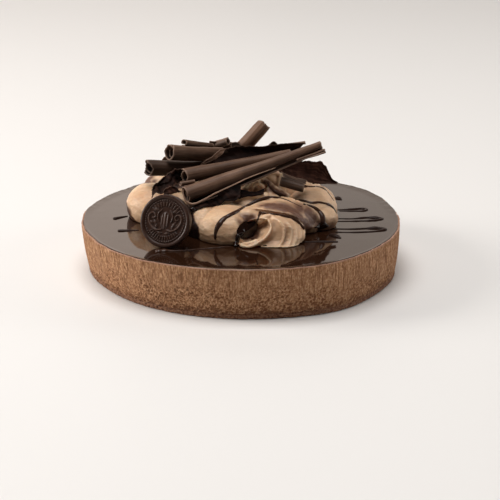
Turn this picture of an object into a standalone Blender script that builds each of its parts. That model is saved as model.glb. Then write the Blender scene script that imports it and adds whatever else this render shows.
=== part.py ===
"""Baked chocolate cheesecake: a low round cake on a thin crumb base, dark mirror glaze, a mound of
whipped chocolate cream with sauce lines, a pressed chocolate medallion and a heap of chocolate curls.
Front is -Y, up is +Z, the middle of the cake is the origin and its foot is at z = 0. Metres."""

import math
import random

import bmesh
import bpy
import numpy as np
from mathutils import Matrix, Vector
from mathutils.bvhtree import BVHTree

MM = 0.001

# The cake
TOP_RADIUS = 0.125
FOOT_RADIUS = 0.1195
CAKE_TOP = 0.040
CRUMB_HEIGHT = 0.0042
RIM_WIDTH = 0.0014
RECESS_DEPTH = 0.0019
GAP = 0.0003
CAKE_STEPS = 96

# The glaze
GLAZE_THICKNESS = 0.0015
GLAZE_TOP = CAKE_TOP - RECESS_DEPTH + GAP + GLAZE_THICKNESS
SAUCE_WIDTH = 0.0024

# The cream
CREAM_FOOT = GLAZE_TOP + GAP
CREAM_VOXEL = 0.0013
CREAM_TRIANGLES = 3100

# The medallion
MEDALLION_RADIUS = 0.0202
MEDALLION_THICKNESS = 0.0056
MEDALLION_TURN = math.radians(-19)
MEDALLION_LEAN = math.radians(20)
MEDALLION_FOOT = (-0.0567, -0.0744)

# The curls
SHEET = 0.0009
PITCH = 0.00150

# Bumps of the outline, as angle, spread in degrees and height in millimetres
TOP_BUMPS = ((38, 17, 5.5), (-132, 16, 1.7), (-58, 15, 1.8), (150, 16, -1.6), (100, 30, 1.0))
FOOT_BUMPS = ((-146, 24, -2.8), (-111, 18, -1.2), (-53, 17, 4.6), (-12, 22, 2.5), (180, 14, 0.8), (60, 40, 2.0))


def clear_scene():
    for obj in list(bpy.data.objects):
        bpy.data.objects.remove(obj, do_unlink=True)
    for mesh in list(bpy.data.meshes):
        bpy.data.meshes.remove(mesh)


def new_collection(name, hidden=False):
    group = bpy.data.collections.new(name)
    bpy.context.scene.collection.children.link(group)
    group.hide_render = hidden
    return group


def material(name, colour, roughness, metallic=0.0):
    made = bpy.data.materials.new(name)
    made.use_nodes = True
    shader = made.node_tree.nodes["Principled BSDF"]
    shader.inputs["Base Color"].default_value = (*colour, 1.0)
    shader.inputs["Roughness"].default_value = roughness
    shader.inputs["Metallic"].default_value = metallic
    made.diffuse_color = (*colour, 1.0)
    return made


def crumb_material():
    return material("chocolate_crumb", (0.075, 0.035, 0.022), 0.85)


def cake_material():
    return material("baked_chocolate_cake", (0.33, 0.17, 0.10), 0.8)


def glaze_material():
    return material("dark_mirror_glaze", (0.040, 0.019, 0.013), 0.08)


def cream_material():
    return material("chocolate_whipped_cream", (0.62, 0.41, 0.26), 0.5)


def medallion_material():
    return material("pressed_dark_chocolate", (0.055, 0.030, 0.024), 0.35)


def curl_material():
    return material("rolled_dark_chocolate", (0.085, 0.052, 0.040), 0.45)


def object_from(name, points, faces, group):
    mesh = bpy.data.meshes.new(name)
    mesh.from_pydata([tuple(p) for p in points], [], [tuple(f) for f in faces])
    mesh.validate()
    mesh.update()
    obj = bpy.data.objects.new(name, mesh)
    group.objects.link(obj)
    return obj


def object_from_bmesh(name, shape, group):
    mesh = bpy.data.meshes.new(name)
    shape.to_mesh(mesh)
    shape.free()
    obj = bpy.data.objects.new(name, mesh)
    group.objects.link(obj)
    return obj


def smooth(obj):
    obj.data.polygons.foreach_set("use_smooth", [True] * len(obj.data.polygons))
    return obj


def applied(obj):
    """The object with its modifiers made part of its mesh."""
    bpy.context.view_layer.update()
    graph = bpy.context.evaluated_depsgraph_get()
    mesh = bpy.data.meshes.new_from_object(obj.evaluated_get(graph))
    obj.modifiers.clear()
    obj.data = mesh
    return obj


def lathe(name, profile, steps, group):
    """A profile of (radius, height) from the top of the axis round the outside to its foot, turned once."""
    points = [(r, 0.0, z) for r, z in profile]
    obj = object_from(name, points, [], group)
    mesh = obj.data
    mesh.edges.add(len(points) - 1)
    for i in range(len(points) - 1):
        mesh.edges[i].vertices = (i, i + 1)
    mesh.update()
    screw = obj.modifiers.new("turn", "SCREW")
    screw.steps = screw.render_steps = steps
    screw.use_merge_vertices = True
    screw.merge_threshold = 0.00005
    screw.use_smooth_shade = True
    applied(obj)
    face_out(obj)
    return obj


def face_out(obj):
    shape = bmesh.new()
    shape.from_mesh(obj.data)
    bmesh.ops.remove_doubles(shape, verts=shape.verts, dist=0.000005)
    bmesh.ops.recalc_face_normals(shape, faces=shape.faces)
    if shape.calc_volume(signed=True) < 0:
        bmesh.ops.reverse_faces(shape, faces=shape.faces)
    shape.to_mesh(obj.data)
    shape.free()
    return obj


def reshaped(obj, rule):
    """Every vertex moved by rule, which takes and gives arrays of x, y and z."""
    count = len(obj.data.vertices)
    flat = np.empty(count * 3, np.float64)
    obj.data.vertices.foreach_get("co", flat)
    points = flat.reshape(-1, 3)
    moved = np.stack(rule(points[:, 0], points[:, 1], points[:, 2]), axis=1)
    obj.data.vertices.foreach_set("co", moved.ravel())
    obj.data.update()
    return obj


def united(name, pieces, group, solver="MANIFOLD"):
    """The pieces joined by one union; the first keeps its place and gives its material."""
    first, rest = pieces[0], pieces[1:]
    helpers = new_collection(name + "_pieces", hidden=True)
    for piece in rest:
        for holder in list(piece.users_collection):
            holder.objects.unlink(piece)
        helpers.objects.link(piece)
    join = first.modifiers.new("join", "BOOLEAN")
    join.operation = "UNION"
    join.operand_type = "COLLECTION"
    join.collection = helpers
    join.solver = solver
    applied(first)
    for piece in list(helpers.objects):
        bpy.data.objects.remove(piece, do_unlink=True)
    bpy.data.collections.remove(helpers)
    first.name = name
    first.data.name = name
    return face_out(first)


def sized(obj, colouring):
    obj.data.materials.clear()
    obj.data.materials.append(colouring)
    return obj


# ---------------------------------------------------------------- the cake

def bump_sum(angle, bumps):
    """The outline's offset in metres at an angle in radians, as a sum of soft bumps."""
    total = np.zeros_like(angle)
    for centre, spread, height in bumps:
        away = (angle - math.radians(centre) + math.pi) % (2 * math.pi) - math.pi
        total += height * MM * np.exp(-((away / math.radians(spread)) ** 2))
    return total


def cake_radius_offset(angle, z):
    """Between the foot's bumps and the top's, by height, with the ragged scallops of the upper edge."""
    share = np.clip(z / CAKE_TOP, 0, 1)
    edge = 0.30 * np.sin(17 * angle + 0.6) + 0.25 * np.sin(29 * angle + 1.9) + 0.2 * np.sin(43 * angle)
    back = 0.4 + 0.9 * np.clip(np.sin(angle), 0, 1)
    ragged = edge * back * MM * np.clip((share - 0.55) / 0.45, 0, 1)
    return bump_sum(angle, FOOT_BUMPS) * (1 - share) + bump_sum(angle, TOP_BUMPS) * share + ragged


def uneven(x, y, z):
    angle = np.arctan2(y, x)
    radius = np.hypot(x, y)
    fade = np.clip((radius / FOOT_RADIUS - 0.8) / 0.15, 0, 1)
    moved = radius + fade * cake_radius_offset(angle, z)
    scale = moved / np.maximum(radius, 1e-9)
    return x * scale, y * scale, z


def crumb_base(group):
    top, foot = CRUMB_HEIGHT, 0.0
    side = FOOT_RADIUS + (TOP_RADIUS - FOOT_RADIUS) * 0.06
    profile = [(0, top), (side - 0.0008, top), (side, top - 0.0008), (side - 0.0002, 0.0012),
               (side - 0.0016, foot), (0, foot)]
    obj = lathe("crumb_base", profile, 72, group)
    return sized(smooth(reshaped(obj, uneven)), crumb_material())


def cake_side(share):
    """The side's radius by share of its height: straight draft, slightly full in the middle."""
    return FOOT_RADIUS + (TOP_RADIUS - FOOT_RADIUS) * share + 0.0008 * math.sin(math.pi * share)


def cheesecake(group):
    foot = CRUMB_HEIGHT + GAP
    inner = TOP_RADIUS - RIM_WIDTH
    floor = CAKE_TOP - RECESS_DEPTH
    profile = [(0, floor), (inner - 0.0004, floor), (inner, CAKE_TOP - 0.0005),
               (inner + 0.0004, CAKE_TOP), (TOP_RADIUS - 0.0004, CAKE_TOP)]
    for height in (0.0395, 0.036, 0.030, 0.023, 0.016, 0.010):
        profile.append((cake_side(height / CAKE_TOP), height))
    profile += [(cake_side(foot / CAKE_TOP) - 0.0002, foot + 0.0005), (cake_side(foot / CAKE_TOP) - 0.0008, foot),
                (0, foot)]
    obj = lathe("cheesecake", profile, CAKE_STEPS, group)
    reshaped(obj, uneven)
    return sized(smooth(reshaped(obj, baked_ripple)), cake_material())


def baked_ripple(x, y, z):
    """Shallow upright ripples of the baked side, strongest in its upper half."""
    angle = np.arctan2(y, x)
    radius = np.hypot(x, y)
    side = np.clip((radius / FOOT_RADIUS - 0.97) / 0.02, 0, 1) * np.clip((0.0395 - z) / 0.002, 0, 1)
    high = np.clip(z / CAKE_TOP, 0, 1) * np.clip((z - 0.006) / 0.004, 0, 1)
    wave = np.sin(31 * angle + 40 * z / CAKE_TOP * 0.05) + 0.7 * np.sin(47 * angle + 2.0 + 60 * z)
    push = 0.00022 * side * (0.4 + high) * wave
    scale = 1 + push / np.maximum(radius, 1e-9)
    return x * scale, y * scale, z


# ---------------------------------------------------------------- glaze and sauce lines

def spread(points, spacing):
    """A soft line through the points (Catmull-Rom), stepped at about the given spacing."""
    pts = np.asarray(points, float)
    padded = np.vstack([2 * pts[0] - pts[1], pts, 2 * pts[-1] - pts[-2]])
    out = []
    for i in range(1, len(padded) - 2):
        a, b, c, d = padded[i - 1:i + 3]
        steps = max(1, int(round(np.linalg.norm(c - b) / spacing)))
        t = (np.arange(steps) / steps)[:, None]
        out.append(0.5 * (2 * b + (c - a) * t + (2 * a - 5 * b + 4 * c - d) * t ** 2
                          + (3 * b - a - 3 * c + d) * t ** 3))
    out.append(padded[-2][None])
    return np.vstack(out)


def tube(name, points, radii, group, sides=6):
    """A round rod through the points with rounded-off thin ends."""
    curve = bpy.data.curves.new(name, "CURVE")
    curve.dimensions = "3D"
    curve.bevel_depth = 1.0
    curve.bevel_resolution = 1 if sides <= 6 else 2
    curve.use_fill_caps = True
    line = curve.splines.new("POLY")
    line.points.add(len(points) - 1)
    for spot, place, radius in zip(line.points, points, radii):
        spot.co = (*place, 1.0)
        spot.radius = radius
    holder = bpy.data.objects.new(name, curve)
    group.objects.link(holder)
    bpy.context.view_layer.update()
    graph = bpy.context.evaluated_depsgraph_get()
    mesh = bpy.data.meshes.new_from_object(holder.evaluated_get(graph))
    bpy.data.objects.remove(holder, do_unlink=True)
    obj = bpy.data.objects.new(name, mesh)
    group.objects.link(obj)
    return face_out(obj)


# Sauce lines on the glaze: points in millimetres from above, and the width there
GLAZE_LINES = (
    ((76.2, 54.2, 1.5), (79.6, 54.8, 1.9), (81.8, 50.7, 1.0)),
    ((77.8, 22.6, 0.9), (89.1, 24.5, 1.2), (97.3, 26.6, 1.6), (101.1, 23.5, 1.8), (96.8, 19.3, 1.2), (79.2, 19.2, 0.8)),
    ((74.9, -0.6, 0.9), (87.5, -0.8, 1.0), (98.8, 2.6, 1.5), (107.5, 2.3, 2.1), (112.0, -0.8, 1.6), (104.5, -5.1, 1.3), (90.3, -7.0, 1.0), (75.3, -7.9, 0.8)),
    ((71.9, -27.1, 0.9), (85.8, -27.3, 1.0), (96.8, -25.3, 1.5), (106.2, -24.0, 2.1), (112.1, -27.4, 1.6), (103.9, -33.1, 1.3), (88.4, -35.4, 1.0), (73.0, -35.5, 0.8)),
    ((68.8, -42.8, 1.5), (72.5, -45.6, 2.0), (75.3, -49.5, 1.0)),
    ((48.4, -59.5, 0.9), (61.2, -58.7, 1.1), (72.5, -58.9, 1.0)),
    ((-99.0, -4.6, 1.4), (-94.5, -1.3, 1.2), (-90.0, 1.4, 0.9)),
    ((-93.1, -35.7, 1.4), (-85.9, -34.8, 1.2), (-79.1, -33.9, 0.9)),
    ((-60.8, -84.3, 2.0), (-55.3, -83.0, 1.7), (-48.6, -82.7, 1.2), (-39.8, -81.3, 1.1), (-25.8, -76.9, 1.0), (-15.5, -73.8, 0.9), (-8.1, -71.8, 0.8)),
)


def glaze(group):
    edge = TOP_RADIUS - RIM_WIDTH - GAP - 0.0007
    foot = CAKE_TOP - RECESS_DEPTH + GAP
    profile = [(0, GLAZE_TOP), (edge - 0.0006, GLAZE_TOP), (edge, GLAZE_TOP - 0.0004), (edge - 0.0001, foot), (0, foot)]
    pool = lathe("glaze", profile, CAKE_STEPS, group)
    reshaped(pool, uneven_glaze)
    pieces = [pool]
    for number, line in enumerate(GLAZE_LINES):
        rows = spread(np.asarray(line) * MM, 0.007)
        places = [(x, y, GLAZE_TOP - 0.0002) for x, y, _ in rows]
        widths = np.clip(rows[:, 2], 0.0006, 0.003)
        rope = tube("line%d" % number, places, widths, group)
        pieces.append(reshaped(rope, lambda x, y, z: (x, y, GLAZE_TOP + (z - GLAZE_TOP) * 0.5)))
    return sized(smooth(united("glaze", pieces, group)), glaze_material())


def uneven_glaze(x, y, z):
    angle = np.arctan2(y, x)
    radius = np.hypot(x, y)
    fade = np.clip((radius / FOOT_RADIUS - 0.8) / 0.15, 0, 1)
    scale = (radius + fade * cake_radius_offset(angle, np.full_like(z, CAKE_TOP))) / np.maximum(radius, 1e-9)
    return x * scale, y * scale, z


# ---------------------------------------------------------------- the cream

# Spoonfuls of cream: centre, half sizes in millimetres, turn about the upright in degrees
SPOONFULS = (
    ((-70, 1, 49), (20, 24, 18), 10),
    ((-66, 15, 59), (15, 14, 12), 0),
    ((-46, 8, 56), (25, 20, 16.5), 0),
    ((-60, -26, 51), (14, 13, 14), 0),
    ((-46, -14, 50), (19, 17, 17), 0),
    ((-10, -43, 45), (25.5, 27, 18), 0),
    ((-56, -39, 50), (14, 18, 19.5), 0),
    ((-62, -49.3, 47), (14, 16, 15), 0),
    ((-27, -33, 46), (16, 24, 17), 0),
    ((54.5, -7, 49), (20.5, 26, 17), -8),
    ((60.5, -18, 46), (14.5, 17, 11.5), 0),
    ((18, -5.5, 66), (17, 15, 18.8), 0),
    ((8, -28, 57), (16, 10, 9), 0),
    ((44, 7, 54), (16, 12, 16), 0),
    ((60, 8, 49), (15, 12, 15), 0),
    ((2, 10, 60), (27, 20, 20.5), 0),
    ((-4, 12, 42), (66, 42, 26), 0),
    ((-40, 40, 44), (27, 22, 18), 25),
    ((4, 48, 44), (28, 22, 20), 0),
    ((44, 34, 44), (27, 24, 19), -25),
)
# Ropes of cream: points in millimetres and the half thickness there
ROPES = (
    ((4, -38, 50, 8.5), (20, -37, 51.5, 9), (38, -34, 49, 9.5), (52, -32, 45, 8.5)),
    ((8, -29, 57, 5), (24, -32, 59, 4.6), (42, -32, 55.5, 4.6), (54, -31, 50, 4)),
    ((3, -21, 64, 3.4), (11, -18, 72, 3.6), (19, -14, 76.5, 3.6), (25, -11, 79, 3.2), (31, -12, 77, 1.8)),
    ((17, -24, 58, 5), (22, -23, 64, 2.6)),
    ((22, -17, 69, 2.2), (30, -21, 65, 2.4), (37, -24, 62, 1.8)),
)
SWIRL_CENTRE = (22.8, -53.5, 45.6)
SWIRL_TURN = math.radians(40)
SWIRL_HALF_LENGTH = 30.5
SWIRL_HALF_WIDTH = 17.0
SWIRL_HALF_HEIGHT = 13.6


def spoonful(number, centre, sizes, turn, group):
    shape = bmesh.new()
    place = Matrix.Translation(Vector(centre) * MM) @ Matrix.Rotation(math.radians(turn), 4, "Z")
    place = place @ Matrix.Diagonal((*(Vector(sizes) * MM), 1.0))
    bmesh.ops.create_icosphere(shape, subdivisions=4, radius=1.0, matrix=place)
    return object_from_bmesh("spoonful%d" % number, shape, group)


def swirl_profile():
    """(radius, height along the axis) of the ribbed shell: far pole, outside, lip, then into its hollow."""
    rows = [(0.0, -1.0)]
    for share in np.linspace(0.06, 0.80, 22):
        angle = math.pi * share
        step = (share * 9.0) % 1.0
        rib = 0.055 * (step ** 1.5) if share > 0.2 else 0.0
        rows.append((math.sin(angle) * (1 + rib), -math.cos(angle)))
    lip = rows[-1]
    rows += [(lip[0] * 0.94, lip[1] + 0.03), (lip[0] * 0.84, lip[1] - 0.04), (lip[0] * 0.62, lip[1] - 0.28), (0.0, lip[1] - 0.42)]
    return rows


def swirl(group):
    """The front spoonful, a ribbed shell open at its left end, with the hollow turned to the viewer."""
    obj = lathe("swirl", [(r * 0.01, z * 0.01) for r, z in reversed(swirl_profile())], 40, group)
    cosine, sine = math.cos(SWIRL_TURN), math.sin(SWIRL_TURN)

    def place(x, y, z):
        across, up, along = x * 100 * SWIRL_HALF_WIDTH, y * 100 * SWIRL_HALF_HEIGHT, z * 100 * SWIRL_HALF_LENGTH
        px = SWIRL_CENTRE[0] - cosine * along + sine * across
        py = SWIRL_CENTRE[1] - sine * along - cosine * across
        return px * MM, py * MM, (SWIRL_CENTRE[2] + up) * MM

    return face_out(reshaped(obj, place))


def rope_of_cream(number, rows, group):
    line = spread(np.asarray(rows) * MM, 0.004)
    return tube("rope%d" % number, line[:, :3], line[:, 3], group, sides=8)


# Sauce lines on the cream: points in millimetres near its surface, and the half width there
CREAM_LINES = (
    ((-18.8, -68.2, 45.4, 0.8), (-18.1, -67.3, 50.2, 1.2), (-16.1, -63.3, 56.4, 1.3), (-12.0, -59.2, 59.8, 1.3),
     (-6.0, -54.8, 61.6, 1.3), (0.3, -47.5, 61.8, 1.2), (9.0, -36, 60, 1.2), (21.4, -32, 63, 1.2), (32.1, -31, 61.5, 1.1),
     (43, -31, 59.7, 1.1), (53.3, -28.5, 56.3, 1.1), (59.5, -30.5, 54.1, 1.1), (62.5, -33.6, 49.9, 1.3)),
    ((4.5, -43.1, 59.5, 0.8), (14.4, -42, 59, 0.9), (26.4, -45, 57.5, 1.1), (40.1, -44, 53.4, 1.2), (47.5, -46, 47.6, 1.1)),
    ((43, -19.9, 60.4, 1.0), (51.5, -22, 61, 1.1), (61.4, -22, 59.5, 1.1), (67.9, -21.4, 56.0, 1.1), (72, -24.0, 49.5, 0.9)),
    ((50.5, 2, 65, 0.8), (57.2, 0, 65, 1.0), (64.1, -2, 62.5, 1.0), (69, -6, 58, 1.0), (72.5, -12.3, 51, 0.8)),
)


def cream(group):
    pieces = [spoonful(i, *row, group) for i, row in enumerate(SPOONFULS)]
    pieces.append(swirl(group))
    pieces += [rope_of_cream(i, rows, group) for i, rows in enumerate(ROPES)]
    mound = united("cream", pieces, group)
    even = mound.modifiers.new("even", "REMESH")
    even.mode = "VOXEL"
    even.voxel_size = CREAM_VOXEL
    soft = mound.modifiers.new("soft", "SMOOTH")
    soft.factor = 0.5
    soft.iterations = 4
    applied(mound)
    fewer = mound.modifiers.new("fewer", "DECIMATE")
    fewer.ratio = CREAM_TRIANGLES / (2.0 * len(mound.data.polygons))
    applied(mound)
    level(mound, CREAM_FOOT, group)
    tree = BVHTree.FromPolygons([v.co for v in mound.data.vertices], [tuple(p.vertices) for p in mound.data.polygons])
    lines = [mound]
    for number, line in enumerate(CREAM_LINES):
        rows = spread(np.asarray(line) * MM, 0.0045)
        places = []
        for x, y, z, _ in rows:
            spot, normal, _, _ = tree.find_nearest(Vector((x, y, z)))
            places.append(tuple(spot + normal * 0.0002))
        lines.append(tube("sauce%d" % number, places, rows[:, 3], group))
    if len(lines) > 1:
        mound = united("cream", lines, group)
    return sized(smooth(mound), cream_material())


def level(obj, height, group):
    """All of the object below the height cut off flat."""
    shape = bmesh.new()
    bmesh.ops.create_cube(shape, size=1.0, matrix=Matrix.Translation((0, 0, height - 0.05)) @ Matrix.Diagonal((0.4, 0.4, 0.1, 1)))
    block = object_from_bmesh("block", shape, group)
    cut = obj.modifiers.new("cut", "BOOLEAN")
    cut.operation = "DIFFERENCE"
    cut.object = block
    cut.solver = "MANIFOLD"
    applied(obj)
    bpy.data.objects.remove(block, do_unlink=True)
    return face_out(obj)


# ---------------------------------------------------------------- the medallion

def medallion(group):
    r, t = MEDALLION_RADIUS, MEDALLION_THICKNESS / 2
    profile = [(0, t - 0.0010), (r - 0.0026, t - 0.0010), (r - 0.0021, t), (r - 0.0007, t), (r, t - 0.0007),
               (r, -t + 0.0007), (r - 0.0007, -t), (0, -t)]
    disc = lathe("medallion", profile, 48, group)
    pieces = [disc] + [bead(i, 22, r * 0.79, group) for i in range(22)]
    pieces += [petal(i, 8, r, group) for i in range(8)] + [centre_button(r, group)]
    made = united("medallion", pieces, group)
    upright = Matrix.Rotation(math.radians(90), 4, "X")
    lean = Matrix.Rotation(-MEDALLION_LEAN, 4, "X")
    turn = Matrix.Rotation(MEDALLION_TURN, 4, "Z")
    seat = CREAM_FOOT + 0.0001
    rise = r * math.cos(MEDALLION_LEAN) + (t) * math.sin(MEDALLION_LEAN)
    back = turn @ Vector((0, r * math.sin(MEDALLION_LEAN), 0))
    place = Matrix.Translation((MEDALLION_FOOT[0] + back.x, MEDALLION_FOOT[1] + back.y, seat + rise))
    made.data.transform(place @ turn @ lean @ upright)
    return sized(smooth(face_out(made)), medallion_material())


def bead(index, count, radius, group):
    angle = 2 * math.pi * index / count
    shape = bmesh.new()
    place = Matrix.Translation((radius * math.cos(angle), radius * math.sin(angle), MEDALLION_THICKNESS / 2 - 0.0011))
    bmesh.ops.create_uvsphere(shape, u_segments=6, v_segments=4, radius=0.0011, matrix=place)
    return object_from_bmesh("bead%d" % index, shape, group)


def petal(index, count, radius, group):
    angle = 2 * math.pi * index / count
    shape = bmesh.new()
    place = Matrix.Rotation(angle, 4, "Z") @ Matrix.Translation((radius * 0.35, 0, MEDALLION_THICKNESS / 2 - 0.0012))
    place = place @ Matrix.Diagonal((radius * 0.19, radius * 0.085, 0.0011, 1.0))
    bmesh.ops.create_uvsphere(shape, u_segments=8, v_segments=4, radius=1.0, matrix=place)
    return object_from_bmesh("petal%d" % index, shape, group)


def centre_button(radius, group):
    shape = bmesh.new()
    place = Matrix.Translation((0, 0, MEDALLION_THICKNESS / 2 - 0.0012)) @ Matrix.Diagonal((radius * 0.13, radius * 0.13, 0.0013, 1.0))
    bmesh.ops.create_uvsphere(shape, u_segments=10, v_segments=5, radius=1.0, matrix=place)
    return object_from_bmesh("button", shape, group)


# ---------------------------------------------------------------- curls and shards

# Curls: name, start and end of the axis, radius at each (millimetres), turns, angle of the free edge
# in degrees, sense of the roll, flare of the free edge in millimetres
CURLS = (
    ("curl_front", (-42.9, -36.0, 68.9), (61.0, -14.0, 103.5), 7.3, 3.2, 1.45, 305, -1, 2.4),
    ("curl_second", (-44.0, -24.0, 79.9), (37.9, 3.0, 91.7), 6.3, 3.5, 1.6, 120, -1, 0),
    ("curl_small_left", (-47.3, -21.0, 72.3), (-31.9, -13.0, 72.0), 2.5, 2.3, 1.1, 20, 1, 0),
    ("curl_upper_left", (-55.8, -9.0, 94.4), (-16.1, 12.0, 87.7), 6.9, 6.4, 1.7, 60, -1, 0),
    ("curl_lower_left", (-72.9, -6.0, 81.6), (-28.5, 5.5, 78.3), 7.0, 6.3, 1.35, 200, 1, 0),
    ("curl_back_small", (-44.9, -1.0, 101.8), (-22.3, 8.0, 98.6), 3.3, 1.9, 1.1, 300, 1, 0),
    ("curl_back_short", (-10.7, 9.0, 99.7), (-33.0, 27.0, 88.6), 3.7, 3.0, 1.25, 100, -1, 0),
    ("curl_upright", (17.6, 12.0, 112.7), (-7.1, 20.0, 83.5), 5.2, 6.2, 1.5, 330, 1, 0),
    ("curl_thin", (50.2, 12.5, 97.9), (24.0, 17.0, 93.5), 1.7, 1.3, 0.95, 90, 1, 0),
    ("curl_right", (48.1, -24.0, 71.5), (30.6, -19.0, 75.0), 3.9, 4.2, 1.25, 200, 1, 0),
)
# The front curl's small second roll, under its right end
LIP_ROLL = ((64.2, -21.0, 101.2), (42.6, -21.6, 93.2), 2.5, 1.2, 0.95, 200, 1, 0)
SEGMENTS_PER_TURN = 12


def curl_rows(start, end, radius_start, radius_end, turns, edge, sense, flare, name):
    """The rolled sheet as a grid: along the axis, and round it inwards by one sheet's pitch each turn."""
    random.seed(name)
    start, end = Vector(start) * MM, Vector(end) * MM
    along = (end - start).normalized()
    side = along.cross(Vector((0, 0, 1))).normalized()
    up = side.cross(along)
    around = max(8, round(turns * SEGMENTS_PER_TURN))
    length = max(2, round((end - start).length / 0.028))
    phases = [random.uniform(0, 6.28) for _ in range(4)]
    nicks = [[0.0006 * math.sin(0.9 * j + phases[e]) + 0.0005 * math.sin(1.9 * j + phases[e + 2])
              for j in range(around + 1)] for e in range(2)]
    rows = []
    for i in range(length + 1):
        share = i / length
        radius = (radius_start * (1 - share) + radius_end * share) * MM - SHEET / 2
        row = []
        for j in range(around + 1):
            part = j / around
            reach = max(radius - PITCH * turns * part, 0.0007)
            reach += flare * MM * max(0.0, 1 - part * turns * 4.5) ** 2 * (1 - 0.4 * share)
            angle = math.radians(edge) + sense * 2 * math.pi * turns * part
            nick = nicks[0][j] if i == 0 else nicks[1][j] if i == length else 0.0
            place = start.lerp(end, share) + along * nick
            row.append(place + side * (reach * math.cos(angle)) + up * (reach * math.sin(angle)))
        rows.append(row)
    return rows


def grid_object(name, rows, group):
    """An open surface through the rows of points, given the sheet's thickness by Solidify."""
    wide = len(rows[0])
    points = [tuple(p) for row in rows for p in row]
    faces = [(i * wide + j, i * wide + j + 1, (i + 1) * wide + j + 1, (i + 1) * wide + j)
             for i in range(len(rows) - 1) for j in range(wide - 1)]
    obj = object_from(name, points, faces, group)
    thick = obj.modifiers.new("sheet", "SOLIDIFY")
    thick.thickness = SHEET
    thick.offset = 0.0
    applied(obj)
    return face_out(obj)


def curl(name, start, end, radius_start, radius_end, turns, edge, sense, flare, group):
    rows = curl_rows(start, end, radius_start, radius_end, turns, edge, sense, flare, name)
    return sized(smooth(grid_object(name, rows, group)), curl_material())


# Shards: name, lower edge and upper edge from left to right (millimetres), how far the middle bows back
SHARDS = (
    ("shard_dark", ((-31.3, -8.5, 80.7), (-19.7, -7.5, 83.4), (-4.2, -4.5, 85.4), (11.4, 0.5, 87.4), (34.9, 7.0, 91.0)),
     ((-33.2, -8.5, 83.5), (-24.3, -6.0, 88.0), (-19.7, -3.0, 93.8), (-12.0, 0.0, 96.3), (-1.2, 2.0, 97.8), (16.0, 4.0, 97.0), (36.3, 7.5, 98.7), (46.2, 9.0, 97.5)), 3.0),
    ("shard_back_right", ((34.2, 5.0, 77.8), (43.0, 6.0, 71.9), (52.5, 7.0, 68.8), (63.7, 8.0, 65.7), (74.7, 8.0, 65.4)),
     ((36.6, 8.0, 80.4), (43.7, 10.0, 81.8), (50.8, 11.0, 83.5), (54.8, 11.0, 82.5), (57.9, 11.0, 83.5), (65.1, 11.0, 79.6), (66.7, 10.0, 75.4), (70.7, 9.0, 69.6), (76.1, 8.0, 66.6)), 2.0),
    ("flake_right", ((33.0, -15.5, 76.8), (41.5, -16.5, 74.3), (50.0, -16.5, 72.8)),
     ((30.7, -11.0, 80.9), (37.0, -11.0, 78.0), (43.2, -11.0, 76.0), (51.3, -12.0, 74.2)), 0.6),
    ("flake_left_dark", ((-69.8, -30.0, 65.1), (-63.6, -31.0, 68.6), (-58.1, -32.0, 71.4), (-52.0, -32.0, 72.2), (-45.6, -29.5, 73.1)),
     ((-68.4, -26.0, 73.1), (-65.4, -24.0, 75.3), (-62.4, -22.0, 76.4), (-56.4, -19.0, 80.3), (-51.0, -18.5, 81.8), (-46.4, -18.5, 77.9)), 3.0),
    ("flake_left_low", ((-59.4, -37.0, 69.4), (-54.1, -38.0, 72.2), (-46.4, -38.0, 74.4)),
     ((-58.7, -36.0, 72.1), (-54.1, -36.5, 75.1), (-47.3, -36.0, 77.8)), 0.5),
    ("flake_under_left", ((-36.5, -43.5, 62.3), (-31.1, -44.5, 61.6), (-24.3, -44.0, 63.1), (-14.5, -42.0, 64.9), (-2.4, -38.5, 67.1)),
     ((-34.2, -41.0, 64.7), (-23.6, -39.5, 65.9), (-12.3, -37.0, 68.3), (-1.7, -33.5, 71.8)), 0.4),
    ("flake_middle", ((-33.9, -25.5, 62.0), (-23.9, -26.0, 63.0), (-12.4, -25.0, 65.2), (-2.4, -24.0, 69.0)),
     ((-40.2, -20.0, 70.3), (-27.1, -19.5, 72.7), (-13.3, -19.0, 75.0), (-1.0, -18.0, 77.7)), 0.3),
    ("flake_under_right", ((0.3, -35.0, 66.7), (6.8, -32.0, 68.2), (16.7, -30.0, 68.1), (19.8, -28.0, 71.5)),
     ((0.6, -31.0, 71.5), (6.7, -29.0, 72.5), (12.9, -28.0, 71.9), (18.2, -27.0, 74.0)), 0.8),
    ("shard_back_left", ((-61.2, 16.0, 74.0), (-48.5, 16.0, 73.3), (-35.9, 17.0, 73.9), (-23.2, 18.0, 75.3)),
     ((-62.2, 17.0, 82.3), (-59.6, 17.5, 84.9), (-48.5, 18.0, 84.6), (-35.9, 19.0, 84.0), (-22.5, 20.0, 83.0)), 1.0),
    ("flake_top", ((19.2, 9.5, 92.7), (24.7, 10.0, 93.0), (31.0, 11.0, 93.6)),
     ((20.8, 9.0, 96.1), (25.0, 9.0, 99.8), (29.4, 10.0, 96.3)), 0.5),
    ("flake_top_left", ((-8.2, 4.0, 94.0), (-4.3, 4.5, 93.9), (1.2, 5.0, 94.2)),
     ((-8.2, 4.5, 99.5), (-4.3, 5.0, 100.2), (-0.4, 5.0, 97.9)), 0.4),
)


def shard(name, lower, upper, bow, group):
    """A thin curved sheet between two ragged edges, bowed away from the viewer."""
    across = 5
    low = spread(np.asarray(lower) * MM, 0.006)
    count = max(6, len(low) - 1)
    low = resampled(spread(np.asarray(lower) * MM, 0.002), count)
    high = resampled(spread(np.asarray(upper) * MM, 0.002), count)
    rows = []
    for i in range(count + 1):
        row = []
        for j in range(across + 1):
            t = j / across
            place = low[i] * (1 - t) + high[i] * t
            place = place + np.array([0.0, 4 * t * (1 - t) * bow * MM, 0.0])
            row.append(place)
        rows.append(row)
    return sized(smooth(grid_object(name, rows, group)), curl_material())


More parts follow.
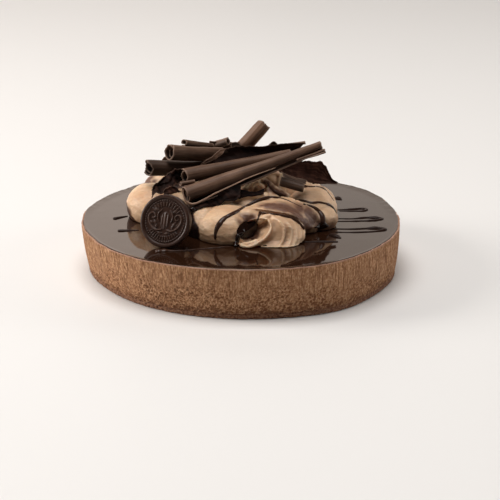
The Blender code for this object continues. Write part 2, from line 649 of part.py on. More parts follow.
def resampled(line, count):
    steps = np.linalg.norm(np.diff(line, axis=0), axis=1)
    run = np.concatenate([[0], np.cumsum(steps)])
    at = np.linspace(0, run[-1], count + 1)
    return np.stack([np.interp(at, run, line[:, k]) for k in range(3)], axis=1)


def build():
    clear_scene()
    group = new_collection("baked_chocolate_cheesecake")
    crumb_base(group)
    cheesecake(group)
    glaze(group)
    cream(group)
    medallion(group)
    for row in CURLS:
        curl(*row, group)
    front = [obj for obj in group.objects if obj.name == "curl_front"][0]
    united("curl_front", [front, curl("lip_roll", *LIP_ROLL, group)], group)
    for row in SHARDS:
        shard(*row, group)


build()
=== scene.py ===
import math

import bmesh
import bpy
import numpy as np
from mathutils import Matrix, Vector
from mathutils.bvhtree import BVHTree


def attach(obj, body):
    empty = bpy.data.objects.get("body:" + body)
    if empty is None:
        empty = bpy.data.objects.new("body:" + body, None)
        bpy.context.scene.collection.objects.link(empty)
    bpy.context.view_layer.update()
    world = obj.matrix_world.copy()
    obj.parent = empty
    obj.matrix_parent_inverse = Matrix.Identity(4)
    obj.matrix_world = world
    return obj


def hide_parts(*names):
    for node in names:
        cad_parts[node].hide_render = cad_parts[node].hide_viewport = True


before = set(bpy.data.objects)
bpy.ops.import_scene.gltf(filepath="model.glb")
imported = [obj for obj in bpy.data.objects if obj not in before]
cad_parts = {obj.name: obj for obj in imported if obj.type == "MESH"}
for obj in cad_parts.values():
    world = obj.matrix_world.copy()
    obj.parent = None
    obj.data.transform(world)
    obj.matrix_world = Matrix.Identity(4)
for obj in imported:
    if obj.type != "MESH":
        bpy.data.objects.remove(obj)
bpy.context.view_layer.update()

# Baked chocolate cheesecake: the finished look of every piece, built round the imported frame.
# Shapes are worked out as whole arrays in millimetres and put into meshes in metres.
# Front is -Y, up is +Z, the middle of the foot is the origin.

MM = 0.001
TAU = 2 * np.pi
# Points of a mesh nearer to each other than this are joined, in metres
WELD = 0.000002

# The cake, in millimetres. A bump of the outline is its angle and spread in degrees, and its height.
TOP_RADIUS = 125.0
FOOT_RADIUS = 119.5
CAKE_TOP = 40.0
CRUMB_HEIGHT = 4.2
RIM_WIDTH = 1.4
RECESS_FLOOR = 38.1
GLAZE_TOP = 39.9
CREAM_FOOT = 40.2
CAKE_COLUMNS = 1080
TOP_BUMPS = ((38, 17, 5.5), (-132, 16, 1.7), (-58, 15, 1.8), (150, 16, -1.6), (100, 30, 1.0))
FOOT_BUMPS = ((-146, 24, -2.8), (-111, 18, -1.2), (-53, 17, 4.6), (-12, 22, 2.5), (180, 14, 0.8), (60, 40, 2.0))

# The viewer's eye: place, turns in degrees, and lens and sensor in millimetres
EYE = (0.0, -1203.59, 419.49)
EYE_YAW, EYE_PITCH, EYE_ROLL = 0.348, 18.658, 0.5
EYE_LENS, EYE_SENSOR = 115.2, 36.0


# ---------------------------------------------------------------- tables

def read_points(text):
    """An array from text: a comma ends a row, and blanks part its numbers."""
    return np.array([[float(number) for number in row.split()] for row in text.split(",")])


def read_lines(text):
    """One array for each part of the text; a semicolon ends a part."""
    return [read_points(part) for part in text.split(";")]


def read_named(text):
    """The name and the arrays of each part of the text, with upright strokes between them."""
    parts = [part.split("|") for part in text.split(";")]
    return [(name.strip(), *map(read_points, arrays)) for name, *arrays in parts]


# ---------------------------------------------------------------- fields of chance

def soft_noise(seed, repeat, *at):
    """Random field from 0 to 1: a random number at each whole-number corner, blended between corners
    by t*t*(3 - 2t). It repeats after `repeat` cells along each coordinate."""
    table = np.random.default_rng(seed).random(repeat)
    low = [np.floor(a).astype(int) for a in at]
    part = [(a - l) ** 2 * (3 - 2 * (a - l)) for a, l in zip(at, low)]
    total = 0.0
    for corner in np.ndindex(*(2,) * len(at)):
        weight = 1.0
        for t, c in zip(part, corner):
            weight = weight * (t if c else 1 - t)
        total = total + weight * table[tuple((l + c) % n for l, c, n in zip(low, corner, repeat))]
    return total


def layered(seed, repeat, layers, *at):
    """Soft noise from -1 to 1 in layers, each of twice the fineness and half the height of the last."""
    total, height, whole = 0.0, 1.0, 0.0
    for k in range(layers):
        fine = 2 ** k
        field = soft_noise(seed + k, tuple(n * fine for n in repeat), *(a * fine for a in at))
        total = total + height * (2 * field - 1)
        whole += height
        height /= 2
    return total / whole


def pits(seed, repeat, u, v, reach):
    """Round hollows, one in each unit cell at a random spot: 1 - (distance / own radius)^2, never below 0."""
    spot_u, spot_v, size = np.random.default_rng(seed).random((3, *repeat))
    deepest = np.zeros_like(u)
    for du in (-1, 0, 1):
        for dv in (-1, 0, 1):
            cell_u, cell_v = np.floor(u).astype(int) + du, np.floor(v).astype(int) + dv
            key = (cell_u % repeat[0], cell_v % repeat[1])
            away = (u - cell_u - spot_u[key]) ** 2 + (v - cell_v - spot_v[key]) ** 2
            deepest = np.maximum(deepest, 1 - away / (reach * (0.25 + 0.75 * size[key] ** 1.5)) ** 2)
    return deepest


def step(low, high, x):
    """0 below low, 1 above high, and t*t*(3 - 2t) between."""
    t = np.clip((x - low) / (high - low), 0, 1)
    return t * t * (3 - 2 * t)


# ---------------------------------------------------------------- meshes

def quads_of(rows, columns, around=False, first=0):
    """The four corners of each cell of a grid of points; `around` joins the last column to the first."""
    wide = columns if around else columns - 1
    i, j = np.meshgrid(np.arange(rows - 1) * columns, np.arange(wide), indexing="ij")
    k = (j + 1) % columns
    return first + np.stack([i + j, i + k, i + columns + k, i + columns + j], -1).reshape(-1, 4)


def put_value(mesh, name, value):
    """A named number for each point of the mesh."""
    value = np.broadcast_to(value, (len(mesh.vertices),)).ravel()
    mesh.attributes.new(name, "FLOAT", "POINT").data.foreach_set("value", value)


def read_back(items, key, width, kind=float):
    """The numbers that every item holds under a key, [items, width]."""
    numbers = np.empty(len(items) * width, kind)
    items.foreach_get(key, numbers)
    return numbers.reshape(-1, width)


def placed(name, data):
    """A new object in the scene."""
    obj = bpy.data.objects.new(name, data)
    bpy.context.scene.collection.objects.link(obj)
    return obj


def applied(obj):
    """The object's modifiers worked into its mesh, which is returned."""
    graph = bpy.context.evaluated_depsgraph_get()
    mesh = bpy.data.meshes.new_from_object(obj.evaluated_get(graph))
    obj.modifiers.clear()
    obj.data = mesh
    return mesh


def piece(name, points, quads, finish, uv=None, values=None):
    """A mesh object from points in millimetres and quads, turned to face outwards, with its own
    map (uv per point, metres) and named values per point."""
    points = np.asarray(points, float).reshape(-1, 3) * MM
    a, b, c, d = (points[quads[:, k]] for k in range(4))
    volume = (np.einsum("ij,ij->i", a, np.cross(b, c)) + np.einsum("ij,ij->i", a, np.cross(c, d))).sum()
    if volume < 0:
        quads = quads[:, ::-1]
    mesh = bpy.data.meshes.new(name)
    mesh.vertices.add(len(points))
    mesh.vertices.foreach_set("co", points.ravel())
    mesh.loops.add(quads.size)
    mesh.loops.foreach_set("vertex_index", np.ascontiguousarray(quads).ravel())
    mesh.polygons.add(len(quads))
    mesh.polygons.foreach_set("loop_start", np.arange(0, quads.size, 4))
    mesh.update(calc_edges=True)
    if uv is not None:
        layer = mesh.uv_layers.new(name="sheet")
        layer.data.foreach_set("uv", np.asarray(uv, float).reshape(-1, 2)[quads.ravel()].ravel())
    for key, value in (values or {}).items():
        put_value(mesh, key, np.ravel(value))
    shape = bmesh.new()
    shape.from_mesh(mesh)
    bmesh.ops.remove_doubles(shape, verts=shape.verts, dist=WELD)
    shape.to_mesh(mesh)
    shape.free()
    mesh.polygons.foreach_set("use_smooth", np.ones(len(mesh.polygons), bool))
    mesh.materials.append(finish)
    return placed(name, mesh)


def once_round(count):
    """Angles at even steps once round."""
    return np.linspace(0, TAU, count, endpoint=False)


def turned(radius, height, columns):
    """Points of a profile of radii and heights turned once round the upright axis, [rows, columns, 3]."""
    angle = once_round(columns)[None, :]
    radius, height = radius[:, None], height[:, None]
    return np.stack([radius * np.cos(angle), radius * np.sin(angle), height + 0 * angle], -1)


def about_axis(points):
    """Angle, share of a whole turn, distance from the upright axis and height of every point."""
    angle = np.arctan2(points[..., 1], points[..., 0])
    return angle, angle % TAU / TAU, np.hypot(points[..., 0], points[..., 1]), points[..., 2]


def catmull_rom(a, b, c, d, t):
    """The curve between b and c at the share t, with a before and d after them."""
    return 0.5 * (2 * b + (c - a) * t + (2 * a - 5 * b + 4 * c - d) * t ** 2 + (3 * b - a - 3 * c + d) * t ** 3)


def evenly(line, count):
    """A line resampled to count points at even distances along it, and its length."""
    run = np.concatenate([[0], np.cumsum(np.linalg.norm(np.diff(line[:, :3], axis=0), axis=1))])
    at = np.linspace(0, run[-1], count)
    return np.stack([np.interp(at, run, line[:, k]) for k in range(line.shape[1])], 1), run[-1]


def sheet(name, middle, thickness, uv, values, finish):
    """A thin sheet: the middle surface [rows, columns, 3] moved half its thickness to each side along
    its own normal, and the two sides joined round the four edges."""
    across = np.cross(np.gradient(middle, axis=0), np.gradient(middle, axis=1))
    across /= np.maximum(np.linalg.norm(across, axis=-1, keepdims=True), 1e-9)
    half = np.broadcast_to(thickness, middle.shape[:2])[..., None] / 2
    both = np.stack([middle + across * half, middle - across * half])
    rows, columns = middle.shape[:2]
    number = np.arange(rows * columns).reshape(rows, columns)
    far = number + rows * columns
    faces = [quads_of(rows, columns), quads_of(rows, columns, first=rows * columns)[:, ::-1]]
    for near_edge, far_edge in ((number[0], far[0]), (number[-1][::-1], far[-1][::-1]),
                                (number[:, 0][::-1], far[:, 0][::-1]), (number[:, -1], far[:, -1])):
        faces.append(np.stack([near_edge[1:], near_edge[:-1], far_edge[:-1], far_edge[1:]], -1))
    uv = np.stack([uv, uv])
    values = {key: np.tile(np.ravel(value), 2) for key, value in values.items()}
    return piece(name, both, np.concatenate(faces), finish, uv, values)


def line_through(points, spacing):
    """A soft line through rows of numbers (Catmull-Rom), resampled at an even spacing; what follows the
    first three numbers of a row goes along with them."""
    pts = np.asarray(points, float)
    padded = np.vstack([2 * pts[0] - pts[1], pts, 2 * pts[-1] - pts[-2]])
    t = np.linspace(0, 1, 24, endpoint=False)[:, None]
    curve = np.vstack([catmull_rom(*padded[i:i + 4], t) for i in range(len(pts) - 1)] + [padded[-2]])
    length = evenly(curve, 3)[1]
    return evenly(curve, max(3, int(length / spacing) + 1))[0]


def rod(centres, radii, sides, up=(0.0, 0.0, 1.0), flat=1.0):
    """A round rod along the centres, [rows, sides, 3], closed to a point at both ends. `up` settles
    its turn, and `flat` scales it along up."""
    along = np.gradient(centres, axis=0)
    along /= np.linalg.norm(along, axis=1, keepdims=True)
    up = np.broadcast_to(np.asarray(up, float), centres.shape)
    side = np.cross(along, up)
    side /= np.linalg.norm(side, axis=1, keepdims=True)
    rise = np.cross(side, along)
    angle = once_round(sides)[None, :, None]
    ring = side[:, None] * np.cos(angle) + rise[:, None] * flat * np.sin(angle)
    body = centres[:, None] + ring * radii[:, None, None]
    tips = []
    for end, way, steps in ((0, -1, (0.0, 0.35, 0.62, 0.82)), (-1, 1, (0.82, 0.62, 0.35, 0.0))):
        for part in steps:
            middle = centres[end] + way * along[end] * radii[end] * math.sqrt(1 - part ** 2) * 0.9
            tips.append(middle + ring[end] * radii[end] * part)
    return np.concatenate([np.stack(tips[:4]), body, np.stack(tips[4:])])


def several(name, rods, finish):
    """Closed rods, each [rows, sides, 3], as one mesh."""
    points, quads, first = [], [], 0
    for rows in rods:
        points.append(rows.reshape(-1, 3))
        quads.append(quads_of(*rows.shape[:2], around=True, first=first))
        first += rows.shape[0] * rows.shape[1]
    return piece(name, np.concatenate(points), np.concatenate(quads), finish)


def turned_piece(name, points, finish, **values):
    """A mesh object from a grid whose last column joins the first."""
    return piece(name, points, quads_of(*points.shape[:2], around=True), finish, values=values)


# ---------------------------------------------------------------- finishes

class Finish:
    """A Principled finish and the nodes that feed it."""

    def __init__(self, name, colour=(0.5, 0.5, 0.5), **settings):
        self.material = bpy.data.materials.new(name)
        self.material.use_nodes = True
        self.tree = self.material.node_tree
        self.shader = self.tree.nodes["Principled BSDF"]
        self.shader.inputs["Base Color"].default_value = (*colour, 1)
        for key, value in settings.items():
            self.shader.inputs[key.replace("_", " ")].default_value = value

    def add(self, kind, feeds=None, **settings):
        node = self.tree.nodes.new("ShaderNode" + kind)
        for key, value in settings.items():
            setattr(node, key, value)
        for socket, value in (feeds or {}).items():
            if isinstance(value, bpy.types.NodeSocket):
                self.tree.links.new(value, node.inputs[socket])
            else:
                node.inputs[socket].default_value = value
        return node

    def place(self, scale=(1, 1, 1), uv=False):
        source = self.add("TexCoord").outputs["UV" if uv else "Object"]
        return self.add("Mapping", {"Vector": source, "Scale": scale}).outputs["Vector"]

    def noise(self, scale, detail=3.0, roughness=0.5, stretch=(1, 1, 1), uv=False, distortion=0.0):
        feeds = {"Vector": self.place(stretch, uv), "Scale": scale, "Detail": detail, "Roughness": roughness}
        return self.add("TexNoise", {**feeds, "Distortion": distortion}).outputs["Fac"]

    def ramp(self, fac, *stops):
        """Colours along fac; a stop is its position and its colour."""
        node = self.add("ValToRGB", {"Fac": fac})
        bar = node.color_ramp
        while len(bar.elements) < len(stops):
            bar.elements.new(0.5)
        for element, (at, *colour) in zip(bar.elements, stops):
            element.position = at
            element.color = (*colour, 1)
        return node.outputs["Color"]

    def value(self, name):
        return self.add("Attribute", attribute_name=name).outputs["Fac"]

    def mix(self, fac, first, second, blend="MIX"):
        first, second = (c if isinstance(c, bpy.types.NodeSocket) else (*c, 1) for c in (first, second))
        return self.add("Mix", {0: fac, 6: first, 7: second}, data_type="RGBA", blend_type=blend).outputs[2]

    def over(self, base, *layers):
        """Each layer's colour mixed in, by its share, over what lies below it."""
        for fac, colour in layers:
            base = self.mix(fac, base, colour)
        return base

    def times(self, first, second):
        return self.add("Math", {0: first, 1: second}, operation="MULTIPLY").outputs[0]

    def span(self, x, low, high, to_low=0.0, to_high=1.0):
        """x from between low and high to between to_low and to_high."""
        feeds = {"Value": x, "From Min": low, "From Max": high, "To Min": to_low, "To Max": to_high}
        return self.add("MapRange", feeds).outputs["Result"]

    def feed(self, name, socket):
        """A socket led into the shader's input of that name."""
        self.tree.links.new(socket, self.shader.inputs[name])
        return self.material

    def relief(self, height, distance, strength=1.0, under=None):
        feeds = {"Height": height, "Distance": distance, "Strength": strength}
        if under is not None:
            feeds["Normal"] = under
        return self.add("Bump", feeds).outputs["Normal"]


def baked_side_finish():
    """Light brown baked crumb with thin upright streaks high up and a sponge of pits below, with painted
    shade, dark and reddish, in its deeper hollows, and a paler pinkish rim."""
    f = Finish("baked_chocolate_side", Roughness=0.75, Specular_IOR_Level=0.12)
    mottle = f.noise(760, 4, 0.62, (1, 1, 0.6))
    thread = f.noise(1000, 2, 0.5, (1, 1, 0.085))
    broad = f.noise(38, 2, 0.5, (1, 1, 0.5))
    base = f.ramp(mottle, (0.36, 0.235, 0.106, 0.049), (0.50, 0.42, 0.218, 0.110), (0.64, 0.60, 0.352, 0.194))
    upper = f.value("upper")
    f.feed("Base Color", f.over(
        base,
        (f.span(broad, 0.35, 0.65, 0.0, 0.25), (0.34, 0.175, 0.092)),
        (f.times(upper, f.span(thread, 0.40, 0.58, 1.0, 0.0)), (0.180, 0.078, 0.037)),
        (f.times(upper, f.span(thread, 0.56, 0.70, 0.0, 0.5)), (0.66, 0.42, 0.245)),
        # Painted shade: the pits are darkened and reddened where they sink in
        (f.span(f.value("hollow"), 0.05, 0.75, 0.0, 0.80), (0.125, 0.046, 0.020)),
        (f.value("rim"), (0.40, 0.225, 0.155)),
        # Darker towards the foot, with painted shade strongest on the side facing the eye
        (f.value("foot"), (0.100, 0.034, 0.019)),
    ))
    streaked = f.relief(mottle, 0.0009, 0.40, f.relief(thread, 0.0007, 0.30))
    return f.feed("Normal", f.relief(f.noise(1500, 4, 0.6), 0.0007, 0.5, streaked))


def crumb_finish():
    """Pressed crumb, a little darker than the side, with reddish pits."""
    f = Finish("dark_crumb", Roughness=0.85, Specular_IOR_Level=0.2)
    grain = f.noise(620, 4, 0.65)
    base = f.ramp(grain, (0.34, 0.095, 0.032, 0.018), (0.52, 0.27, 0.135, 0.078), (0.72, 0.38, 0.210, 0.125))
    f.feed("Base Color", base)
    return f.feed("Normal", f.relief(grain, 0.0012, 0.7))


def glaze_finish():
    """Very dark mirror glaze."""
    f = Finish("dark_mirror_glaze", IOR=1.52, Specular_IOR_Level=0.5, Specular_Tint=(1.0, 0.78, 0.60, 1))
    cloud = f.noise(40, 3, 0.5)
    f.feed("Base Color", f.mix(cloud, (0.017, 0.0064, 0.0030), (0.025, 0.0095, 0.0046)))
    f.feed("Roughness", f.span(f.noise(90, 3, 0.6), 0.35, 0.7, 0.03, 0.075))
    return f.feed("Normal", f.relief(f.noise(55, 2, 0.5), 0.0006, 0.10))


def sauce_finish(name, dark, light, gloss, shine, ripple=0.15):
    """Thick dark sauce, wet."""
    f = Finish(name, Roughness=gloss, IOR=1.48, Specular_IOR_Level=shine)
    f.feed("Base Color", f.mix(f.noise(300, 2, 0.5), dark, light))
    return f.feed("Normal", f.relief(f.noise(260, 2, 0.5), 0.0005, ripple))


def cream_finish():
    """Whipped chocolate cream: pale tan, browner with sauce stains and painted shade, painted shade in hollows and
    highlight on crests, faintly streaked.
    """
    f = Finish("whipped_chocolate_cream", Roughness=0.46, Specular_IOR_Level=0.45, Subsurface_Weight=0.18,
               Subsurface_Scale=0.004)
    f.shader.inputs["Subsurface Radius"].default_value = (1.0, 0.55, 0.32)
    cloud = f.noise(38, 3, 0.55, (1, 1, 1.6), distortion=0.6)
    streak = f.noise(150, 3, 0.6, (1, 1, 2.4), distortion=1.2)
    crest_light_hollow_shade, stain_and_shade = f.value("crest_light_hollow_shade"), f.value("stain_and_shade")
    base = f.ramp(cloud, (0.35, 0.565, 0.340, 0.192), (0.55, 0.68, 0.450, 0.275), (0.75, 0.76, 0.540, 0.348))
    f.feed("Base Color", f.over(
        base,
        (f.span(streak, 0.42, 0.62, 0.30, 0.0), (0.42, 0.245, 0.150)),
        # Painted shade in hollows and painted highlight on crests, by how far each point stands out
        (f.span(crest_light_hollow_shade, -0.05, -0.40, 0.0, 0.55), (0.30, 0.155, 0.090)),
        (f.span(crest_light_hollow_shade, 0.05, 0.35, 0.0, 0.40), (0.86, 0.650, 0.440)),
        # Sauce stains and painted shade: brown, then near black where the painted shadow is deepest
        (f.span(stain_and_shade, 0.05, 0.80), (0.124, 0.053, 0.029)),
        (f.span(stain_and_shade, 1.02, 1.4), (0.020, 0.0085, 0.0052)),
    ))
    strokes = f.relief(f.noise(210, 3, 0.55, (1, 1, 2), distortion=1.5), 0.0010, 0.30)
    return f.feed("Normal", f.relief(f.noise(900, 3, 0.6), 0.0004, 0.22, strokes))


def chocolate_finish(name, dark, mid, light, gloss, shine):
    """Scraped chocolate: fine lines along the roll, paler where the sheet breaks or ends."""
    f = Finish(name, Roughness=gloss, Specular_IOR_Level=shine)
    lines = f.noise(1.0, 4, 0.65, (22, 520, 1), uv=True)
    scrape = f.noise(1.0, 3, 0.6, (700, 60, 1), uv=True)
    cloud = f.noise(70, 3, 0.5)
    base = f.ramp(f.mix(0.35, lines, cloud), (0.36, *dark), (0.5, *mid), (0.64, *light))
    # The tone value scales the colour; on the rolls it carries painted light and shade
    base = f.mix(1.0, base, f.value("tone"), "MULTIPLY")
    base = f.mix(f.times(f.value("edge"), 0.85), base, (0.235, 0.150, 0.108))
    f.feed("Base Color", base)
    f.feed("Roughness", f.span(lines, 0.3, 0.7, gloss - 0.07, gloss + 0.08))
    return f.feed("Normal", f.relief(lines, 0.0005, 0.30, f.relief(scrape, 0.0004, 0.18)))


def medallion_finish():
    """Pressed dark chocolate with a soft shine, lighter on the raised relief and rim as a painted highlight."""
    f = Finish("pressed_dark_chocolate", Roughness=0.28, Specular_IOR_Level=0.24)
    grain = f.noise(420, 4, 0.6)
    base = f.ramp(grain, (0.3, 0.024, 0.0098, 0.0058), (0.7, 0.039, 0.0168, 0.0102))
    # Painted highlight: lighter on the raised relief and the rim
    f.feed("Base Color", f.mix(f.span(f.value("crest"), 0.3, 1.0, 0.0, 0.6), base, (0.080, 0.041, 0.027)))
    f.feed("Roughness", f.span(grain, 0.3, 0.7, 0.27, 0.38))
    return f.feed("Normal", f.relief(f.noise(1300, 3, 0.6), 0.0004, 0.20))


CHOCOLATE = chocolate_finish(
    "rolled_dark_chocolate", (0.050, 0.0245, 0.0140), (0.086, 0.0460, 0.0285), (0.130, 0.0760, 0.0500), 0.50, 0.20)
# Near-black flake chocolate: its own dark colour and painted shade for pieces lying in shadow under and inside the
# curls
SHADED_DARK_CHOCOLATE = chocolate_finish(
    "dark_flake_chocolate_and_shade", (0.0040, 0.0015, 0.0010), (0.0100, 0.0040, 0.0027), (0.0280, 0.0128, 0.0088), 0.60, 0.05)
SAUCE = sauce_finish("dark_chocolate_sauce", (0.028, 0.0112, 0.0062), (0.056, 0.0245, 0.0145), 0.24, 0.26)
RUN_SAUCE = sauce_finish("sauce_run_on_glaze", (0.014, 0.0062, 0.0042), (0.030, 0.0142, 0.0096), 0.32, 0.12)
# Painted highlight: a very pale chocolate for the lit edge of the front curl
PAINTED_EDGE_HIGHLIGHT = chocolate_finish(
    "painted_highlight_on_edge", (0.26, 0.160, 0.110), (0.40, 0.255, 0.180), (0.55, 0.370, 0.270), 0.55, 0.20)
POOLED_SAUCE = sauce_finish("pooled_sauce", (0.0045, 0.0014, 0.0008), (0.020, 0.0062, 0.0030), 0.09, 0.38, 0.03)


def settle(obj, slot, *nodes):
    """The piece rides with the cake and stands for the named nodes. The slot is not used."""
    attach(obj, "root")
    if nodes:
        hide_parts(*nodes)
    return obj


# ---------------------------------------------------------------- the cake

def bump_sum(angle, bumps):
    """The outline's offset at an angle: a sum of soft bumps exp(-(away / spread)^2)."""
    total = np.zeros_like(angle)
    for centre, spread, height in bumps:
        away = (angle - math.radians(centre) + np.pi) % TAU - np.pi
        total = total + height * np.exp(-((away / math.radians(spread)) ** 2))
    return total


def outline_offset(angle, z):
    """Between the foot's bumps and the top's by height, with the ragged scallops of the upper edge."""
    share = np.clip(z / CAKE_TOP, 0, 1)
    edge = 0.30 * np.sin(17 * angle + 0.6) + 0.25 * np.sin(29 * angle + 1.9) + 0.2 * np.sin(43 * angle)
    back = 0.4 + 0.9 * np.clip(np.sin(angle), 0, 1)
    ragged = edge * back * np.clip((share - 0.55) / 0.45, 0, 1)
    return bump_sum(angle, FOOT_BUMPS) * (1 - share) + bump_sum(angle, TOP_BUMPS) * share + ragged


def side_radius(z):
    """Straight draft from foot to top, slightly full in the middle."""
    share = z / CAKE_TOP
    return FOOT_RADIUS + (TOP_RADIUS - FOOT_RADIUS) * share + 0.8 * np.sin(np.pi * share)


def pushed(points, push):
    """Every point moved outwards from the upright axis by push."""
    radius = np.hypot(points[..., 0], points[..., 1])
    scale = (radius + push) / np.maximum(radius, 1e-9)
    return points * np.stack([scale, scale, np.ones_like(scale)], -1)


def at_outline(angle, z, r):
    """The outline's offset, let in over the outer fifth of the radius."""
    return outline_offset(angle, z) * step(0.8, 0.95, r / FOOT_RADIUS)


def cheesecake():
    """The baked side: the outline plus upright streaks, strongest high up and at both ends of the view,
    and sponge-like pits below. The recess, thin rim, underside and foot complete the solid."""
    inner, floor, foot = TOP_RADIUS - RIM_WIDTH, RECESS_FLOOR, CRUMB_HEIGHT + 0.03
    side_z = np.concatenate([[39.75, 39.45], np.linspace(39.0, foot + 0.9, 68)])
    radius = np.concatenate([
        [0, inner - 8, inner - 0.5, inner - 0.1, inner, inner + 0.25, inner + 0.7, TOP_RADIUS - 0.35],
        [TOP_RADIUS - 0.1], side_radius(side_z), [side_radius(foot) - 0.02, side_radius(foot) - 0.3, 60, 0]])
    height = np.concatenate([[floor, floor, floor, floor + 0.3, 39.3, 39.8, CAKE_TOP, CAKE_TOP, 39.9],
                             side_z, [foot + 0.12, foot, foot, foot]])
    points = turned(radius, height, CAKE_COLUMNS)
    angle, turn, r, z = about_axis(points)
    side = step(0.965, 0.98, r / side_radius(z)) * (z < 39.95)
    ends = 0.30 + 0.70 * np.abs(np.cos(angle)) ** 1.5
    high = step(15, 29, z + 8 * (2 * soft_noise(5, (48,), turn * 48) - 1) + 17 * (ends - 0.5))
    long_streak = layered(11, (520, 6), 1, turn * 520, z / 10.5)
    fine_streak = layered(12, (700, 10), 1, turn * 700, z / 5.5)
    streak = step(0.10, 0.55, long_streak) * 0.75 + step(0.15, 0.7, fine_streak) * 0.6
    sponge = pits(21, (470, 21), turn * 470, z / 1.95, 0.74)
    small = pits(23, (660, 28), turn * 660, z / 1.45, 0.62)
    low = 1 - 0.85 * high
    open_pits = 0.85 * step(0.15, 0.75, sponge) * soft_noise(22, (160, 9), turn * 160, z / 5) * 1.6
    # hollow: how deep the pits sink; the finish also paints shade in them by it
    hollow = np.clip(low * (open_pits + 0.65 * step(0.25, 0.9, small)), 0, 1)
    foot_pits = step(10.5, 6.0, z) * step(0.2, 0.8, pits(24, (270, 9), turn * 270, z / 2.4, 0.70))
    hollow = np.clip(hollow + 0.8 * foot_pits, 0, 1) * side
    groove = np.clip(high * streak, 0, 1) * side
    upper = np.clip(high * (0.45 + 0.55 * streak), 0, 1) * side
    swell = layered(31, (60, 6), 3, turn * 60, z / 12)
    wave = np.sin(31 * angle + 0.6) + 0.7 * np.sin(47 * angle + 2.0 + 0.06 * z)
    push = side * (0.20 * swell + 0.10 * wave * (0.4 + high) - 0.32 * groove - 0.50 * hollow)
    points = pushed(points, at_outline(angle, z, r) + push)
    rim = step(38.9, 39.7, z) * (r > inner - 0.3)
    teeth = step(-0.15, 0.5, np.cos(angle - 0.5)) * rim
    points = pushed(points, 0.55 * teeth * layered(42, (250,), 2, turn * 250) * (r > inner + 0.3))
    points[..., 2] += (0.12 * rim + 0.22 * teeth) * layered(41, (240,), 2, turn * 240)
    # Painted shade: a dark band low on the side, deepest on the side facing the eye
    eye_side_shade = np.clip(-np.sin(angle), 0, 1) ** 2
    band = step(8.6, 6.4, z + 1.6 * (soft_noise(6, (60,), turn * 60) - 0.5)) * side * (0.09 + 0.18 * eye_side_shade)
    obj = turned_piece("cheesecake_baked", points, baked_side_finish(), hollow=hollow, upper=upper, rim=rim, foot=band)
    settle(obj, "cake", "cheesecake")


def crumb_base():
    """The thin pressed base: a low disc with a crumbly side."""
    side = FOOT_RADIUS + 0.55
    z = np.linspace(CRUMB_HEIGHT - 0.4, 0.7, 9)
    edge = side - 0.1 * (CRUMB_HEIGHT - z) / 4
    radius = np.concatenate([[0, side - 4, side - 0.7], edge, [side - 0.7, side - 1.6, 60, 0]])
    height = np.concatenate([[CRUMB_HEIGHT] * 3, z, [0.25, 0, 0, 0]])
    points = turned(radius, height, CAKE_COLUMNS)
    angle, turn, r, z = about_axis(points)
    crumbs = 0.5 * step(0.1, 0.8, pits(51, (420, 4), turn * 420, z / 1.6, 0.8))
    crumbs = crumbs + 0.2 * soft_noise(52, (500, 6), turn * 500, z)
    push = at_outline(angle, z, r) - step(0.975, 0.99, r / side) * crumbs
    settle(turned_piece("crumb_base_pressed", pushed(points, push), crumb_finish()), "crumb", "crumb_base")


def glaze():
    """A near-level pool with very shallow swells, a thin raised bead where it meets the rim, and at the
    back a film that runs over the rim."""
    angle = once_round(600)[None, :]
    behind = step(-0.05, 0.25, np.sin(angle))
    edge = TOP_RADIUS - RIM_WIDTH + 0.25 + behind * (RIM_WIDTH + 0.05)
    share = np.concatenate([np.linspace(0, 0.93, 88), np.linspace(0.937, 0.992, 18), [0.996, 1.0]])[:, None]
    radius = edge * share
    x, y = radius * np.cos(angle), radius * np.sin(angle)
    swell = 0.055 * layered(61, (16, 16), 3, x / 26 + 8, y / 26 + 8)
    inside = (1 - share) * edge
    bead = 0.16 * np.exp(-((inside - 1.1) / 1.0) ** 2)
    z = GLAZE_TOP + swell * step(0, 6, inside) + bead - 0.5 * np.clip(1 - inside / 0.55, 0, 1) ** 2
    z = z + behind * 0.32 * step(9.0, 1.5, inside) * (1 + 0.5 * layered(62, (180,), 2, angle / TAU * 180))
    top = np.stack([x, y, z], -1)
    under = top[[-1, -1]].copy()
    under[0, :, 2] = 38.9 + 0.9 * behind
    under[1] = [0, 0, 38.4]
    under[1, :, :2] = 0
    points = np.concatenate([top, under])
    around, _, r, _ = about_axis(points)
    points = pushed(points, at_outline(around, np.full_like(r, CAKE_TOP), r))
    settle(turned_piece("glaze_mirror", points, glaze_finish()), "glaze", "glaze")


# Sauce lines on the glaze: x, y and the half width there. The last is the one in front.
GLAZE_LINES = read_lines("""
76.2 54.2 1.5, 79.6 54.8 1.9, 81.8 50.7 1;
77.8 22.6 .9, 89.1 24.5 1.2, 97.3 26.4 1.4, 100.6 23.5 1.5, 96.8 19.8 1.1, 79.2 19.2 .8;
74.9 -.6 .9, 87.5 -.8 1, 98.8 2.2 1.3, 107 1.9 1.7, 111.4 -.8 1.4, 104.5 -4.8 1.2, 90.3 -7 1, 75.3 -7.9 .8;
71.9 -27.1 .9, 85.8 -27.3 1, 96.8 -25.6 1.3, 105.8 -24.6 1.7, 111.4 -27.6 1.4, 103.9 -32.7 1.2, 88.4 -35.4 1, 73
-35.5 .8;
68.8 -42.8 1.5, 72.5 -45.6 2, 75.3 -49.5 1;
48.4 -59.5 .9, 61.2 -58.7 1.1, 72.5 -58.9 1;
-99 -4.6 1.4, -94.5 -1.3 1.2, -90 1.4 .9;
-93.1 -35.7 1.4, -85.9 -34.8 1.2, -79.1 -33.9 .9;
-60.8 -84.3 2, -55.3 -83 1.7, -48.6 -82.7 1.2, -39.8 -81.3 1.1, -25.8 -76.9 1, -15.5 -73.8 .9, -8.1 -71.8 .8""")


